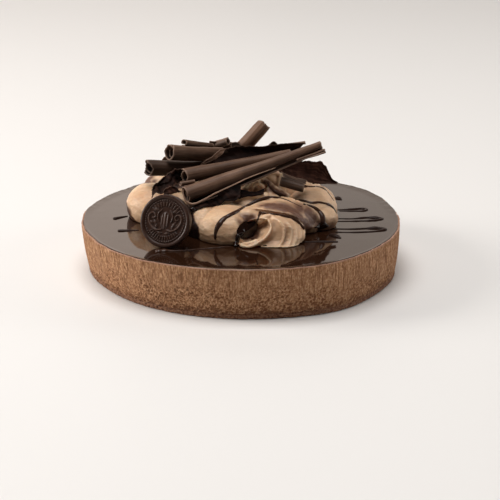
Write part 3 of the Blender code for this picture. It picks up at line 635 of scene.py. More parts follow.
def glaze_lines():
    """Thick sauce run out over the glaze: flattened rods half sunk in it."""
    rods = []
    for number, line in enumerate(GLAZE_LINES):
        rows = line_through(line, 0.8)
        centres = np.stack([rows[:, 0], rows[:, 1], np.full(len(rows), GLAZE_TOP + 0.05)], 1)
        wobble = 1 + 0.22 * layered(70 + number, (64,), 2, np.arange(len(rows)) * 0.16)
        rods.append(rod(centres, (rows[:, 2] * wobble) ** 1.4, 18, flat=0.62))
    settle(several("front_sauce_on_glaze", rods[-1:], SAUCE), "glaze")
    settle(several("sauce_on_glaze", rods[:-1], RUN_SAUCE), "glaze")


# ---------------------------------------------------------------- the cream

# Spoonfuls: centre, half sizes, and turn about the upright in degrees
SPOONFULS = read_points("""
-70 1 49 20 24 18 10, -64 16 59 13.5 13 12 0, -46 8 56 25 20 16.5 0, -60 -26 51 14 13 14 0, -46 -14 50 19 17 17 0,
-10 -43 45 25.5 27 18 0, -56 -39 50 14 18 19.5 0, -57 -49.3 47 12 16 15 0, -27 -33 46 16 24 17 0, 54.5 -7 49 20.5 26
17 -8, 60.5 -18 46 14.5 17 11.5 0, 18 -3.5 65 17 13 17.5 0, 8 -28 57 16 10 9 0, 12.4 -17.5 71 7.2 5.6 5.6 0, 44 7 54
16 12 16 0, 60 8 49 15 12 15 0, 2 10 60 27 20 20.5 0, -4 12 42 66 42 26 0, -40 40 44 27 22 18 25, 4 48 44 28 22 20
0, 44 34 44 27 24 19 -25""")
# Ropes and ridges of cream: points and the half thickness there
ROPES = read_lines("""
4 -38 50 8.5, 20 -37 51.5 9, 38 -34 49 9.5, 52 -32 45 8.5;
8 -29 57 5, 24 -32 59 4.6, 42 -32 55.5 4.6, 54 -31 50 4;
1.4 -23 68.3 2, 4.8 -22 72 2.2, 7.5 -20.5 74.9 2.2, 11.3 -19.5 76.9 2.1, 16 -18 77.6 2.1, 20.2 -16 80.3 2.2, 24.4
-15 81.8 2.2, 30.1 -15 79.3 1.2;
30.5 -16 80 .9, 29.9 -17.5 76.1 1.2, 29 -19.5 71.1 1;
17.1 -18.5 77.1 1.8, 20.6 -20 74.5 2.2, 24.1 -21 71.5 2.4, 28.4 -22 68.2 2.6, 34.6 -22.5 64.8 2.2;
19.1 -14 77.8 4.5, 23.8 -14.5 76 5, 26.1 -15.5 72.3 4;
3.7 -22.2 67.9 .9, 5.2 -22.7 72.1 1.1, 7.5 -22.7 75.1 1.1, 10.6 -22.2 76.5 1.1, 14 -21.2 76 1;
7.9 -22.7 68.1 .8, 8.7 -23.2 71.5 1, 10.6 -23.7 74 1, 13.2 -23.7 74.8 1, 16 -23.2 73.1 1, 17.5 -22.2 70 .8;
3 -43 59.5 3.2, 15.8 -46.5 59 3.4, 25.6 -48.5 58.4 3.4, 35.4 -50 56.8 3.2, 42 -49 53.5 3, 45.5 -47 49 3;
13.5 -55.5 55.5 3.2, 19 -56.5 57.5 3, 25 -55.5 58.2 2.6;
3.7 -20.5 70 1.4, 2.2 -22 67.6 1.4, -.9 -23 65.9 1.2;
23.3 -26 63 6.5, 22.2 -24.5 66.5 3.6, 21.1 -23 71.3 .9;
-3.9 -30 62.8 3.2, 3.7 -30 65.2 3.2, 11.4 -30 66.2 3.2, 18.3 -29.5 66.4 3;
-8 -50 51.5 8, 0 -49.5 53.5 8.5, 7 -49.5 54.5 8, 12.5 -51 54 6.5;
-1.8 -67.5 41.6 .7, 1.6 -74 41 .9, 6.8 -75.2 41.2 1, 12.8 -72.6 43.1 .95, 18 -70.9 46.4 .85, 21.4 -68.4 50.3 .75,
22.6 -64.6 53.7 .65, 20.8 -62.2 57 .5;
1.5 -70.6 41.2 1.4, 6.5 -72.3 41.9 1.9, 11.5 -70.8 43.4 1.7;
28.5 -72.9 41 .7, 31 -69.8 43.6 .8, 32.2 -67.9 48 .85, 31.9 -66.4 53 .8, 29.2 -64.7 57.2 .7""")
# The front swirl's ribs from its open mouth to its far end: eight points each, from the foot up the front to the top
SWIRL_RIBS = read_lines("""
-1.8 -65 42.5, 1.6 -74 40.4, 6.8 -75.2 40.6, 12.8 -72.4 42.6, 18 -70.7 46, 21.4 -68.2 50, 22.6 -64.4 53.5, 20.6
-62.2 57.5;
15.8 -74.9 40.4, 23.2 -75.6 40.3, 28.5 -72.9 41, 31 -69.7 43.5, 32.2 -67.8 48, 31.9 -66.3 53, 29.2 -64.6 57.3, 23.2
-58.3 59.8;
23.2 -75.6 40.3, 31.4 -75 40.3, 35.9 -72.9 41.2, 37.5 -69 44.5, 37.8 -66 49, 36.7 -64.4 53.6, 33.4 -60.4 57.4, 27
-55.7 59.8;
27.7 -74.6 40.3, 35.9 -73.5 40.3, 40.2 -70.4 41.2, 42 -66.9 45, 42 -62.9 49.6, 40.9 -59.4 53.2, 37.6 -56.1 57, 31.6
-52.7 59.2;
31.5 -73.1 40.3, 39.7 -71 40.3, 43.9 -66.7 41.4, 45.5 -63.8 45.6, 45.5 -59.1 49.2, 44.1 -56.5 52.6, 41.1 -53.3 56,
35.4 -51.7 58.6;
34.5 -70.7 40.3, 42 -68.2 40.3, 46.7 -62.5 41.6, 48.2 -59.9 45.5, 48 -56.6 48.8, 46.4 -54.3 52, 43 -52.1 55, 38.5
-50.3 57""")
SWIRL_VALLEYS = (3.1, 1.5, 1.1, 1.0, 0.9)
# The fold of cream over the swirl: four lines from its crisp lower edge to where it leaves the mound
FOLD = read_lines("""
3 -46 62.6, 9.8 -48 62.5, 15.8 -50 62.2, 25.6 -52.5 61.6, 35.4 -54 60.1, 42.3 -53 56.9, 46.2 -50 51.3, 48.4 -46.5
44.6;
8 -41 63, 12.9 -41.5 63.4, 21.9 -44 64, 31.8 -46 62.8, 41.7 -47 59.2, 48.7 -46 53.1, 53.5 -43 45.8;
14 -36 63.8, 19 -36.5 64.4, 28.1 -38.5 65.1, 38.7 -40 63.2, 47.2 -40.5 59.3, 54.2 -39.5 53, 58.3 -37 45;
24 -28 65.3, 33.6 -29 65.8, 43.5 -32 64.2, 51.9 -35 60.2, 58.1 -36 55.2, 61.7 -35 48""")
BOWL_BOTTOM = (4.5, -56.0, 46.5)
# Points round a ring of the swirl and along the fold
RING_POINTS, FOLD_POINTS = 96, 90
# The cream's even quads, in millimetres, and the share of its faces that is kept in the end
CREAM_GRAIN, CREAM_KEPT = 0.70, 0.64


def spoonful(number, row):
    """A soft lump: directions of a sphere stretched to the half sizes, the reach varied by broad noise
    and by shallow strokes of a spoon, and its under side flat at the glaze."""
    centre, sizes, turn = row[:3], row[3:6], math.radians(row[6])
    polar, around = np.meshgrid(np.linspace(0, np.pi, 60), once_round(110), indexing="ij")
    way = np.stack([np.sin(polar) * np.cos(around), np.sin(polar) * np.sin(around), np.cos(polar)], -1)
    x, y, z = (way[..., k] * 2.2 + 9 for k in range(3))
    reach = 1 + 0.026 * layered(100 + number, (24, 24, 24), 1, x * 0.8, y * 0.8, z * 0.8)
    stroke = layered(140 + number, (24, 24, 24), 1, x * 0.7 + 0.5 * y, y * 3.0, z * 3.0)
    reach = reach + 0.012 * (1 - np.abs(stroke)) ** 4
    points = way * reach[..., None] * sizes
    cosine, sine = math.cos(turn), math.sin(turn)
    points = points @ np.array([[cosine, sine, 0], [-sine, cosine, 0], [0, 0, 1]]) + centre
    points[..., 2] = np.maximum(points[..., 2], CREAM_FOOT)
    return points


def closed_line(points, count):
    """A closed soft line (Catmull-Rom) through points [..., n, 3], at count even steps of its parameter."""
    n = points.shape[-2]
    at = np.linspace(0, n, count, endpoint=False)
    i, t = at.astype(int), (at % 1)[:, None]
    return catmull_rom(*(points[..., (i + k) % n, :] for k in (-1, 0, 1, 2)), t)


def swirl():
    """The ribbed front spoonful: rings through the ribs, drawn in between them towards the middle by the
    valley depth, closed behind inside the mound; at the mouth the surface turns in to a bowl."""
    core = np.array([26.0, -48.0, 46.0])
    rings = []
    for number, rib in enumerate(SWIRL_RIBS):
        top, low = rib[-1], rib[0]
        if number:
            behind = [top + (1, 12, -3), (top + low) / 2 + (1, 22, 0), low + (1, 20, 2)]
        else:
            behind = [(13.5, -60.5, 59.0), (5.0, -61.5, 56.5), (-2.2, -63.5, 50.5)]
        rings.append(np.concatenate([rib, behind]))
    rings = closed_line(np.array(rings), RING_POINTS)
    fade = np.interp(np.arange(RING_POINTS), (0, 26, 44, 61, 95), (1.0, 1.0, 0.5, 0.25, 0.25))[:, None]
    mouth, bottom = rings[0], np.array(BOWL_BOTTOM)
    rows = []
    for share in (0, 0.25, 0.5, 0.7, 0.85, 0.95):
        ring = bottom + (mouth - bottom) * share
        rows.append(ring + np.array([1.0, 5.5, 0.5]) * math.sin(math.pi * share) ** 0.8)
    for number in range(len(rings) - 1):
        steps = 12 if number == 0 else 7
        for k in range(steps):
            t = k / steps
            ring = rings[number] * (1 - t) + rings[number + 1] * t
            dip = SWIRL_VALLEYS[number] * math.sin(math.pi * t ** 0.8) ** 1.2 * fade
            inward = core - ring
            rows.append(ring + inward / np.linalg.norm(inward, axis=1, keepdims=True) * dip)
    rows.append(rings[-1])
    end = np.array([44.0, -46.0, 47.0])
    for share in (0.9, 0.6, 0.0):
        rows.append(end + (rings[-1] - end) * share)
    points = np.array(rows)
    points[..., 2] = np.maximum(points[..., 2], CREAM_FOOT)
    return points


def fold_of_cream():
    """A thick sheet through four lines (Catmull-Rom across them) with shallow strokes along it, its lower
    edge standing clear of the swirl; the ends close to points inside the mound."""
    lines = np.array([evenly(line_through(row, 0.5), FOLD_POINTS)[0] for row in FOLD])
    padded = np.concatenate([2 * lines[:1] - lines[1:2], lines, 2 * lines[-1:] - lines[-2:-1]])
    at = np.linspace(0, len(FOLD) - 1, 40)
    i = np.minimum(at.astype(int), len(FOLD) - 2)
    t = (at - i)[:, None, None]
    face = catmull_rom(*(padded[i + k] for k in range(4)), t)
    across, along = np.meshgrid(at * 3.2 + 3, np.linspace(0, 3, FOLD_POINTS) + 3, indexing="ij")
    stroke = layered(190, (64, 16), 2, across, along)
    face = (face + np.array([0, -0.35, 0.35]) * stroke[..., None]).transpose(1, 0, 2)
    loop = np.concatenate([face, (face + np.array([0, 1.5, -1.5]))[:, ::-1]], axis=1)
    ends = [np.broadcast_to(loop[k].mean(axis=0), loop[k].shape)[None] for k in (0, -1)]
    return np.concatenate([ends[0], loop, ends[1]])


# Stains of sauce in the cream, and painted shade where it lies in shadow under the curls and folds: centre, reach and
# strength
STAIN_AND_SHADE_SPOTS = read_points("""
18.5 -22 75.5 3.2 1, 20.4 -22.4 74.8 3.4 1.1, 22.9 -23.6 70.7 3.8 1.15, 26.6 -24.2 68.4 4 1.2, 30.3 -24.7 66.2 4
1.2, 33.7 -24.9 65.4 3 1.1, 11 -23.5 70.5 2.6 .6, -75 12 66 6.5 1.05, -72.5 13.5 68 5.5 1.02, -71 14.5 69 4 .9, -74
8 65 4 1.2, -69 7 67.5 3.2 .8, -51 -6 67 5 1.35, -47 -5 68 4.5 1.35, -43 -3.5 69 4 1.3, -89 -8 47 5 1.3, -.7 -62.1
56.1 4 .7, 3.8 -57 57.2 4.5 .9, 8.3 -56.5 57.5 4 .9, -2.1 -68.3 47.1 4 1, 5 -58 48 10 1.5, 15.8 -44.1 63.6 4 .8,
20.4 -44.6 64.1 6.2 1.02, 24.9 -45.7 64 7 1.03, 29.5 -46.2 63.4 8 1.03, 34 -46.7 62.4 8.3 1.03, 37.8 -47.7 60.9 7.5
1.02, 41.5 -49.3 59 7 1.02, 45.4 -48.5 55.6 5.5 1, 48.5 -46.6 51.1 6 1, 45 -41 61 7 .85, 51 -40.1 56.7 7.5 .95, 54.1
-40 51.9 7.5 .98, 52 -44 46 7 .9, 59.1 -34.6 44.6 9 .9, 68.7 -29.9 41.5 8 .8, 43 -24 60 8 .45, 54 -19 64 12 .26, 46
-14 65 10 .34""")


def squared_reach(points, centre, sizes):
    """The squared distance of every point from the centre, with the half sizes as units."""
    return ((points - centre) ** 2 / np.array(sizes) ** 2).sum(axis=1)


def cream():
    """All spoonfuls, ropes and the swirl joined and evened to small quads, softened, then given fine
    streaks, stained where sauce lies and darkened with painted shade where the cream lies in shadow."""
    parts = [spoonful(i, row) for i, row in enumerate(SPOONFULS)] + [swirl(), fold_of_cream()]
    for number, rope in enumerate(ROPES):
        line = line_through(rope, 0.8)
        wave = 1 + 0.07 * layered(180 + number, (64,), 2, np.arange(len(line)) * 0.13)
        parts.append(rod(line[:, :3], line[:, 3] * wave, 18))
    mound = several("whipped_cream", parts, cream_finish())
    even = mound.modifiers.new("even", "REMESH")
    even.mode = "VOXEL"
    even.voxel_size = CREAM_GRAIN * MM
    even.use_smooth_shade = True
    soft = mound.modifiers.new("soft", "SMOOTH")
    soft.factor = 0.5
    soft.iterations = 2
    mesh = applied(mound)
    count = len(mesh.vertices)
    points, normal = read_back(mesh.vertices, "co", 3) / MM, read_back(mesh.vertices, "normal", 3)
    near, far = read_back(mesh.edges, "vertices", 2, int).T
    ends, others = np.concatenate([near, far]), np.concatenate([far, near])
    neighbours = np.bincount(ends, minlength=count)[:, None]
    evened = points.copy()
    for _ in range(16):
        sums = np.stack([np.bincount(ends, evened[others, k], count) for k in range(3)], 1)
        evened = (evened + sums / neighbours) / 2
    # How far each point stands out, used for painted shade in hollows and painted highlight on crests
    crest_light_hollow_shade = ((points - evened) * normal).sum(axis=1)
    peak = np.exp(-squared_reach(points, (18.0, -20.0, 73.0), (13.0, 9.0, 9.0)))
    points = points + (0.8 + 1.3 * peak)[:, None] * (points - evened)
    # The peak under the front curl gets extra painted light
    crest_light_hollow_shade = crest_light_hollow_shade * (1 + 0.8 * peak) + 0.10 * peak
    dent = np.clip(1 - squared_reach(points, (5.0, -64.0, 49.0), (9.5, 12.0, 8.5)), 0, 1) ** 1.3
    points = points + dent[:, None] * np.array([1.5, 8.0, -1.0])
    x, y, z = points.T
    warp = 2.5 * layered(201, (32, 32, 32), 2, x / 18 + 9, y / 18 + 9, z / 18 + 9)
    down, across = y * 0.6 + z + warp, z * 0.8 - y * 0.3 + warp
    streak = layered(202, (64, 64, 64), 2, x / 9 + 9, down / 1.9 + 19, across / 1.9 + 9)
    broad = layered(203, (32, 32, 32), 2, x / 14 + 9, y / 14 + 9, z / 9 + 9)
    points = points + normal * (0.20 * (1 - np.abs(streak)) ** 4 - 0.04 + 0.20 * broad)[:, None]
    points[:, 2] = np.maximum(points[:, 2], CREAM_FOOT)
    mesh.vertices.foreach_set("co", (points * MM).ravel())
    stain_and_shade = np.zeros(count)
    blur = 0.7 + 0.6 * soft_noise(204, (64, 64, 64), x / 4 + 9, y / 4 + 20, z / 4 + 9)
    for *centre, reach, strength in STAIN_AND_SHADE_SPOTS:
        away = np.linalg.norm(points - centre, axis=1) / (reach * blur)
        stain_and_shade = np.maximum(stain_and_shade, strength * np.clip(1.3 - away, 0, 1))
    # Sauce and painted shade in the dark hollow left of the middle lobe and at the foot of the left lobe
    border = np.interp(z, (41.4, 49.5, 52.8, 57.4, 59.1), (-30.6, -31.2, -33.5, -35.4, -37.2)) + 2 * (blur - 1)
    stain_and_shade = np.maximum(stain_and_shade, 1.5 * step(-0.3, 1.8, border - x) * (x > -60) * (y < -28) * step(61.5, 59.5, z))
    border = np.interp(x, (-90, -88.5, -87, -85.8, -83.4, -80), (53, 51, 48, 45.4, 43.4, 41.0)) + 2 * (blur - 1)
    stain_and_shade = np.maximum(stain_and_shade, 1.25 * step(-0.2, 1.6, border - z) * (x < -77))
    put_value(mesh, "stain_and_shade", stain_and_shade)
    put_value(mesh, "crest_light_hollow_shade", crest_light_hollow_shade)
    mesh.update()
    mound.modifiers.new("lighter", "DECIMATE").ratio = CREAM_KEPT
    mesh = applied(mound)
    mesh.polygons.foreach_set("use_smooth", np.ones(len(mesh.polygons), bool))
    return settle(mound, "cream", "cream")


# Sauce lines over the cream: points near its surface and the half width there
CREAM_LINES = read_lines("""
-19.3 -68 44.9 .9, -18.8 -67.3 50.6 1.5, -16.9 -65.6 54.4 1.95, -13.2 -61.9 58.3 1.95, -8.6 -58.3 60.1 1.7, -3.8
-53.2 61.2 1.6, 4 -44 62.8 1.5, 11.3 -36 64.6 1.4, 20.4 -31.8 66.4 1.15, 27.8 -30.2 65.9 .9, 35 -34.2 65.1 .65, 41.8
-38 62.9 .5, 46.2 -38.6 61.1 .35;
48.1 -26.9 59.7 .7, 54.9 -28.5 58.3 1, 59.8 -29.7 55.2 1.5, 62.5 -32.7 52 2, 62.8 -34.5 48.8 2.2, 61.6 -35 46.3 1.3;
42.3 -19.1 60.8 .7, 48.8 -24.4 61.5 1.05, 53.7 -26.6 60.6 1.1, 59.9 -24.4 60.5 1, 66.9 -21.2 58 1.1, 71.4 -17.5 54.2
1.05, 73.5 -21.8 51.3 .7;
49.6 0 66.1 1.2, 55.2 -1 65.8 1.2, 58.5 3.5 65 .7, 64.3 4.7 63.4 .75, 67.9 -4.4 62.3 .7, 72.3 -9.3 57.3 .5;
20.4 -22.4 74.8 .6, 22.9 -23.6 70.7 .9, 26.6 -24.2 68.4 1.1, 30.3 -24.7 66.2 1.3, 33.7 -24.9 65.4 .8""")
# Sauce seen in the crevices under the fold
CREVICE_LINES = read_lines("""
14.6 -51 60.1 .6, 21.1 -52 59.7 .7, 27 -55.8 60.3 .8, 33.8 -55.8 58.8 .95, 40.5 -54.7 56 1.15, 44.3 -54.8 52.7 1.2,
47.5 -55.7 49.2 .9;
14.3 -51 60.2 1.1, 13.5 -55.3 58.8 .9, 12.4 -58.3 56.6 .6, 11.3 -58 54 .5""")


# A point that would move farther than this along the sight line has missed its place, in millimetres
FARTHEST_MOVE = 15


def laid_on(tree, points, sink):
    """The points moved along the sight line on to the surface, or to its nearest spot where that misses."""
    eye = Vector(EYE) * MM
    places, normals = [], []
    for p in points:
        spot = Vector(p) * MM
        way = (spot - eye).normalized()
        hit, normal, _, _ = tree.ray_cast(eye, way)
        if hit is None or (hit - spot).length > FARTHEST_MOVE * MM:
            hit, normal, _, _ = tree.find_nearest(spot)
        places.append(hit / MM - normal * sink)
        normals.append(normal)
    return np.array(places), np.array(normals)


def in_front(tree, points, lift):
    """The points drawn along the sight line towards the eye where the cream hides them, to stand clear of it."""
    eye = Vector(EYE) * MM
    places = []
    for p in points:
        way = Vector(p) * MM - eye
        hit, _, _, away = tree.ray_cast(eye, way.normalized())
        near = way.length if hit is None else min(way.length, away - lift * MM)
        places.append((eye + way.normalized() * near) / MM)
    return np.array(places)


def softened(rows, times):
    """Each inner row drawn to the mean of its neighbours."""
    for _ in range(times):
        rows[1:-1] = (rows[:-2] + 2 * rows[1:-1] + rows[2:]) / 4
    return rows


def cream_lines(tree):
    """Sauce trailed over the cream: rods that follow its surface, thicker where they pool."""
    rods = []
    for number, line in enumerate(CREAM_LINES):
        rows = line_through(line, 0.7)
        places, normals = laid_on(tree, softened(laid_on(tree, rows[:, :3], 0)[0], 8), 0.1)
        places, normals = softened(places, 2), softened(normals, 14)
        wobble = 1 + 0.14 * layered(220 + number, (64,), 2, np.arange(len(rows)) * 0.14)
        rods.append(rod(places, rows[:, 3] * wobble, 14, up=normals, flat=0.75))
    for line in CREVICE_LINES:
        rows = line_through(line, 0.7)
        rods.append(rod(softened(in_front(tree, rows[:, :3], 0.25), 4), rows[:, 3], 12))
    settle(several("sauce_on_cream", rods, SAUCE), "glaze")


# A patch of sauce under the right folds: outline points on the cream as the eye sees them, and the
# thickness in the middle
PATCH, PATCH_THICKNESS = read_points("""
62.9 -33.6 51.6, 64.6 -33 47.5, 68.7 -29.9 42.6, 62 -34 41.6, 55.5 -34 42.4, 59.1 -34.6 45.6"""), 0.8


def patch(tree, outline, thickness):
    """Rings drawn from the middle of an outline to its rim, laid on the cream along the sight line: the
    upper side rises by thickness * (1 - share^3) above it, the lower lies just inside the cream."""
    outline = closed_line(outline, 56)
    middle = outline.mean(axis=0)
    top, under = [], []
    for share in np.linspace(0, 1, 22):
        ring, normal = laid_on(tree, middle + (outline - middle) * share, 0.0)
        top.append(ring + normal * (thickness * (1 - share ** 3) - 0.12))
        under.append(ring - normal * 0.8)
    top, under = np.array(top), np.array(under)
    for _ in range(8):
        top = (np.roll(top, 1, axis=1) + 2 * top + np.roll(top, -1, axis=1)) / 4
        top = softened(top, 1)
    top[0], under[0] = top[0].mean(axis=0), under[0].mean(axis=0)
    return np.concatenate([top, under[::-1]])


# The pool in the swirl's mouth: its rim on the cream
POOL = read_points("""
-5.1 -69.7 45.2, -4.4 -68.3 50.2, -1.5 -64 53.6, 1.5 -60.1 55.1, 6 -57.5 56, 11.3 -57.5 54.5, 12.8 -57.5 51.2, 10.6
-58.6 46.8, 7.6 -61.3 44.4, 3.9 -64 43.5, -.6 -67.6 43, -3.6 -69.3 41.6""")


# The run out of the mouth and the drop: points and the half width there
SAUCE_RUN, SAUCE_DROP = read_lines("""
-2.1 -68.3 47.1 2, -3.6 -68.4 42.4 2, -4 -72.5 40.6 1.5;
-38 -43.4 60.2 1.2, -36.6 -44 60.1 2.1, -35.2 -44.4 59.6 1.2""")


def pool():
    """A lens: rings from the middle to the rim, standing 1.1 * (1 - share^2) towards the eye and 2.5 mm behind."""
    rim = closed_line(POOL, 72)
    middle = rim.mean(axis=0)
    share = np.linspace(0, 1, 24)[:, None, None]
    flat = middle + (rim - middle) * share
    ripple = 0.12 * layered(230, (16, 16), 2, flat[..., 0] / 5 + 9, flat[..., 2] / 5 + 2)
    top = flat + np.array([0, -0.95, 0.3]) * (1.1 * (1 - share ** 2) + ripple[..., None] * (1 - share ** 4) - 0.1)
    return np.concatenate([top, (flat + np.array([0, 2.5, -1.0]))[::-1]])


def sauce_pools(tree):
    """Sauce caught in the swirl's mouth and run from it to the glaze, sauce under the right folds, and
    one bright drop under the front curl."""
    parts = [patch(tree, PATCH, PATCH_THICKNESS), pool()]
    for line, spacing, sides in ((SAUCE_RUN, 0.6, 18), (SAUCE_DROP, 0.4, 20)):
        rows = line_through(line, spacing)
        parts.append(rod(rows[:, :3], rows[:, 3], sides))
    settle(several("sauce_pools", parts, POOLED_SAUCE), "glaze")


# ---------------------------------------------------------------- the medallion

MEDALLION_RADIUS, MEDALLION_THICKNESS = 19.8, 5.6
MEDALLION_TURN, MEDALLION_LEAN = math.radians(-22), math.radians(20)
MEDALLION_FOOT = (-58.2, -78.6)
ORNAMENT_HEIGHT, RIM_HEIGHT = 1.05, 1.15
BEADS = 52


# The right half of the ornament, with the disc's radius as unit. Scrolls: p, q and the half width there
SCROLLS = read_lines("""
.1 -.3 .03, .28 -.33 .04, .47 -.22 .045, .6 -.02 .045, .6 .17 .04, .47 .25 .036, .37 .17 .032, .4 .07 .03, .48 .08
.026;
.23 -.02 .022, .28 .12 .034, .25 .27 .03, .15 .38 .022""")
# Leaves: p and q of the middle, angle in degrees, half length and half width
LEAVES = read_points("""
.36 -.08 62 .13 .05, .3 -.21 100 .11 .045, .49 -.09 40 .11 .045, .34 .36 25 .13 .05, .14 -.42 8 .12 .04""")


def ridge(p, q, strokes):
    """Height of rounded strokes: 1 - (distance / half width)^2 for the nearest stroke, never below 0.
    Each stroke is a soft line through points (p, q, half width)."""
    height = np.zeros_like(p)
    for stroke in strokes:
        rows = line_through(np.insert(stroke, 2, 0, axis=1), 0.025)
        for (a, b, _, w0), (c, d, _, w1) in zip(rows[:-1], rows[1:]):
            t = np.clip(((p - a) * (c - a) + (q - b) * (d - b)) / ((c - a) ** 2 + (d - b) ** 2), 0, 1)
            away = (p - a - t * (c - a)) ** 2 + (q - b - t * (d - b)) ** 2
            height = np.maximum(height, 1 - away / (w0 + t * (w1 - w0)) ** 2)
    return height


def leaf(p, q, middle_p, middle_q, angle, long, wide):
    """A pointed leaf with a middle vein."""
    c, s = math.cos(math.radians(angle)), math.sin(math.radians(angle))
    a = ((p - middle_p) * c + (q - middle_q) * s) / long
    b = (-(p - middle_p) * s + (q - middle_q) * c) / wide
    body = np.clip(1 - a * a - np.abs(b) / np.maximum(1 - a * a, 0.05) * (np.abs(a) < 1), 0, 1) ** 0.6
    return np.where(np.abs(a) < 1, body * (1 - 0.45 * np.exp(-(b / 0.16) ** 2)), 0)


def ornament(p, q):
    """A cocoa pod between two leafy scrolls, the same on both sides."""
    m = np.abs(p)
    pod = np.clip(1 - (p / 0.17) ** 2 - ((q - 0.02) / 0.30) ** 2, 0, 1) ** 0.5
    pod = pod * (0.72 + 0.28 * np.cos(p / 0.17 * 9.5))
    height = np.maximum(pod * 1.1, ridge(m, q, SCROLLS))
    for row in LEAVES:
        height = np.maximum(height, leaf(m, q, *row))
    return height


def medallion():
    """A pressed disc: the face is a height over angle and radius, of a raised rim, a ring of beads, two
    arcs of upright bars and the ornament; side and back close it."""
    r, t = MEDALLION_RADIUS, MEDALLION_THICKNESS / 2
    share = np.concatenate([np.linspace(0, 0.83, 78), np.linspace(0.836, 0.998, 32)])[:, None]
    angle = once_round(440)[None, :]
    p, q = share * np.cos(angle), share * np.sin(angle)
    relief = ORNAMENT_HEIGHT * ornament(p * 0.92, q * 0.92)
    degrees = np.degrees(angle) % 360
    for low, high, inner, outer, every in ((38, 142, 0.55, 0.71, 10.4), (218, 322, 0.58, 0.71, 8.7)):
        spot = (degrees - low) / every
        off = np.abs(spot - np.round(spot)) * every * np.pi / 180 * share
        bar = np.clip(1 - (off / 0.033) ** 2, 0, 1) * step(inner - 0.02, inner + 0.01, share)
        bar = bar * step(outer + 0.02, outer - 0.01, share)
        relief = np.maximum(relief, 0.85 * bar * (degrees > low - 2) * (degrees < high + 2))
    spot = degrees / (360 / BEADS)
    off = np.abs(spot - np.round(spot)) * (TAU / BEADS) * share
    relief = np.maximum(relief, 0.80 * np.clip(1 - (off / 0.036) ** 2 - ((share - 0.785) / 0.030) ** 2, 0, 1) ** 0.5)
    rim = np.clip(1 - ((share - 0.925) / 0.082) ** 2, 0, 1) ** 0.5
    # Painted highlight on the raised relief and the rim
    crest = np.maximum(relief / ORNAMENT_HEIGHT, 0.35 * rim)
    height = t - RIM_HEIGHT + relief + RIM_HEIGHT * rim + 0.03 * layered(401, (64, 64), 3, p * 9 + 9, q * 9 + 9)
    front = np.stack([p * r, q * r, height + 0 * angle], -1)
    radius = np.array([r, r + 0.03, r, r - 0.25, r - 0.8, 0])
    z = np.array([t - 1.5, 0.0, -t + 0.7, -t + 0.2, -t, -t])
    points = np.concatenate([front, turned(radius, z, angle.size)])
    crest = np.concatenate([crest, np.full((radius.size, angle.size), 0.3)])
    upright = Matrix.Rotation(math.radians(90), 3, "X")
    lean = Matrix.Rotation(-MEDALLION_LEAN, 3, "X")
    turn = Matrix.Rotation(MEDALLION_TURN, 3, "Z")
    rise = r * math.cos(MEDALLION_LEAN) + t * math.sin(MEDALLION_LEAN)
    back = turn @ Vector((0, r * math.sin(MEDALLION_LEAN), 0))
    centre = np.array([MEDALLION_FOOT[0] + back.x, MEDALLION_FOOT[1] + back.y, CREAM_FOOT - 0.2 + rise])
    points = points @ np.array(turn @ lean @ upright).T + centre
    settle(turned_piece("medallion_pressed", points, medallion_finish(), crest=crest), "medallion", "medallion")


# ---------------------------------------------------------------- curls and shards

# Thickness of a sheet of chocolate and the room from turn to turn of a roll, in millimetres
SHEET, PITCH = 0.9, 1.5
# Curls: name, start and end of the axis, radius at each, turns, angle of the free edge in degrees, sense of
# the roll, flare of the free edge, raggedness of the two ends, how far a torn tongue reaches out at the start,
# how far the near wall is cut back at the start, and the tone: a scale of the colour that also paints the
# whole roll darker where it lies in shade and brighter where it is lit
CURLS = read_named("""
curl_front | -42.9 -36 68.9 | 61 -14 103.5 | 7.3 3.7 1.45 300 -1 2.9 1 1 0 1.9 1.25;
curl_second | -44 -24 79.9 | 37.9 3 91.7 | 6.3 3.5 1.6 120 -1 0 1.6 .8 0 .6 1.05;
curl_small_left | -46.8 -31.5 76.7 | -35.6 -28.8 78.2 | 2.4 2.2 1.1 200 1 0 .7 .6 0 .4 1.1;
curl_upper_left | -55.8 -9 95.6 | -16.1 12 88.9 | 6.9 6.4 1.7 60 -1 0 .8 .8 0 1 1;
curl_lower_left | -71.9 -6 82.5 | -28.5 5.5 79 | 7.2 6.4 1.35 200 1 0 1.6 .8 3.4 1.6 .56;
curl_back_small | -44.9 -1 101.2 | -22.3 8 96.6 | 3.4 2.4 1.1 250 1 0 .5 .6 0 1.4 .9;
curl_back_short | -10.7 9 99.7 | -33 27 88.6 | 3.9 3.1 1.25 60 -1 0 .6 .6 0 -1.3 1;
curl_upright | 18.3 12 113.3 | -5.8 20 83.5 | 6 6.9 1.5 20 1 0 .9 .6 -3.2 -2.2 1.9;
curl_thin | 50.2 12.5 97.9 | 24 17 93.5 | 1.7 1.3 .95 90 1 0 .4 .4 0 0 1.2;
curl_right | 48.1 -24 71.5 | 30.6 -19 75 | 3.9 4.2 1.25 30 1 0 .6 .5 0 -.8 .62""")
# The small roll in front of the right end of the front curl, which stands for no node of its own
LIP_ROLL = read_named("curl_front_lip | 64.2 -21 101.2 | 42.6 -21.6 93.2 | 2.5 1.2 .95 200 1 0 .7 .5 0 0 1.1")[0]
# Where the eye lies as seen from the mound
TO_EYE = (0, -0.947, 0.32)


def seed_of(name):
    """A seed from the letters of a name."""
    return sum(ord(letter) * (k + 3) for k, letter in enumerate(name))


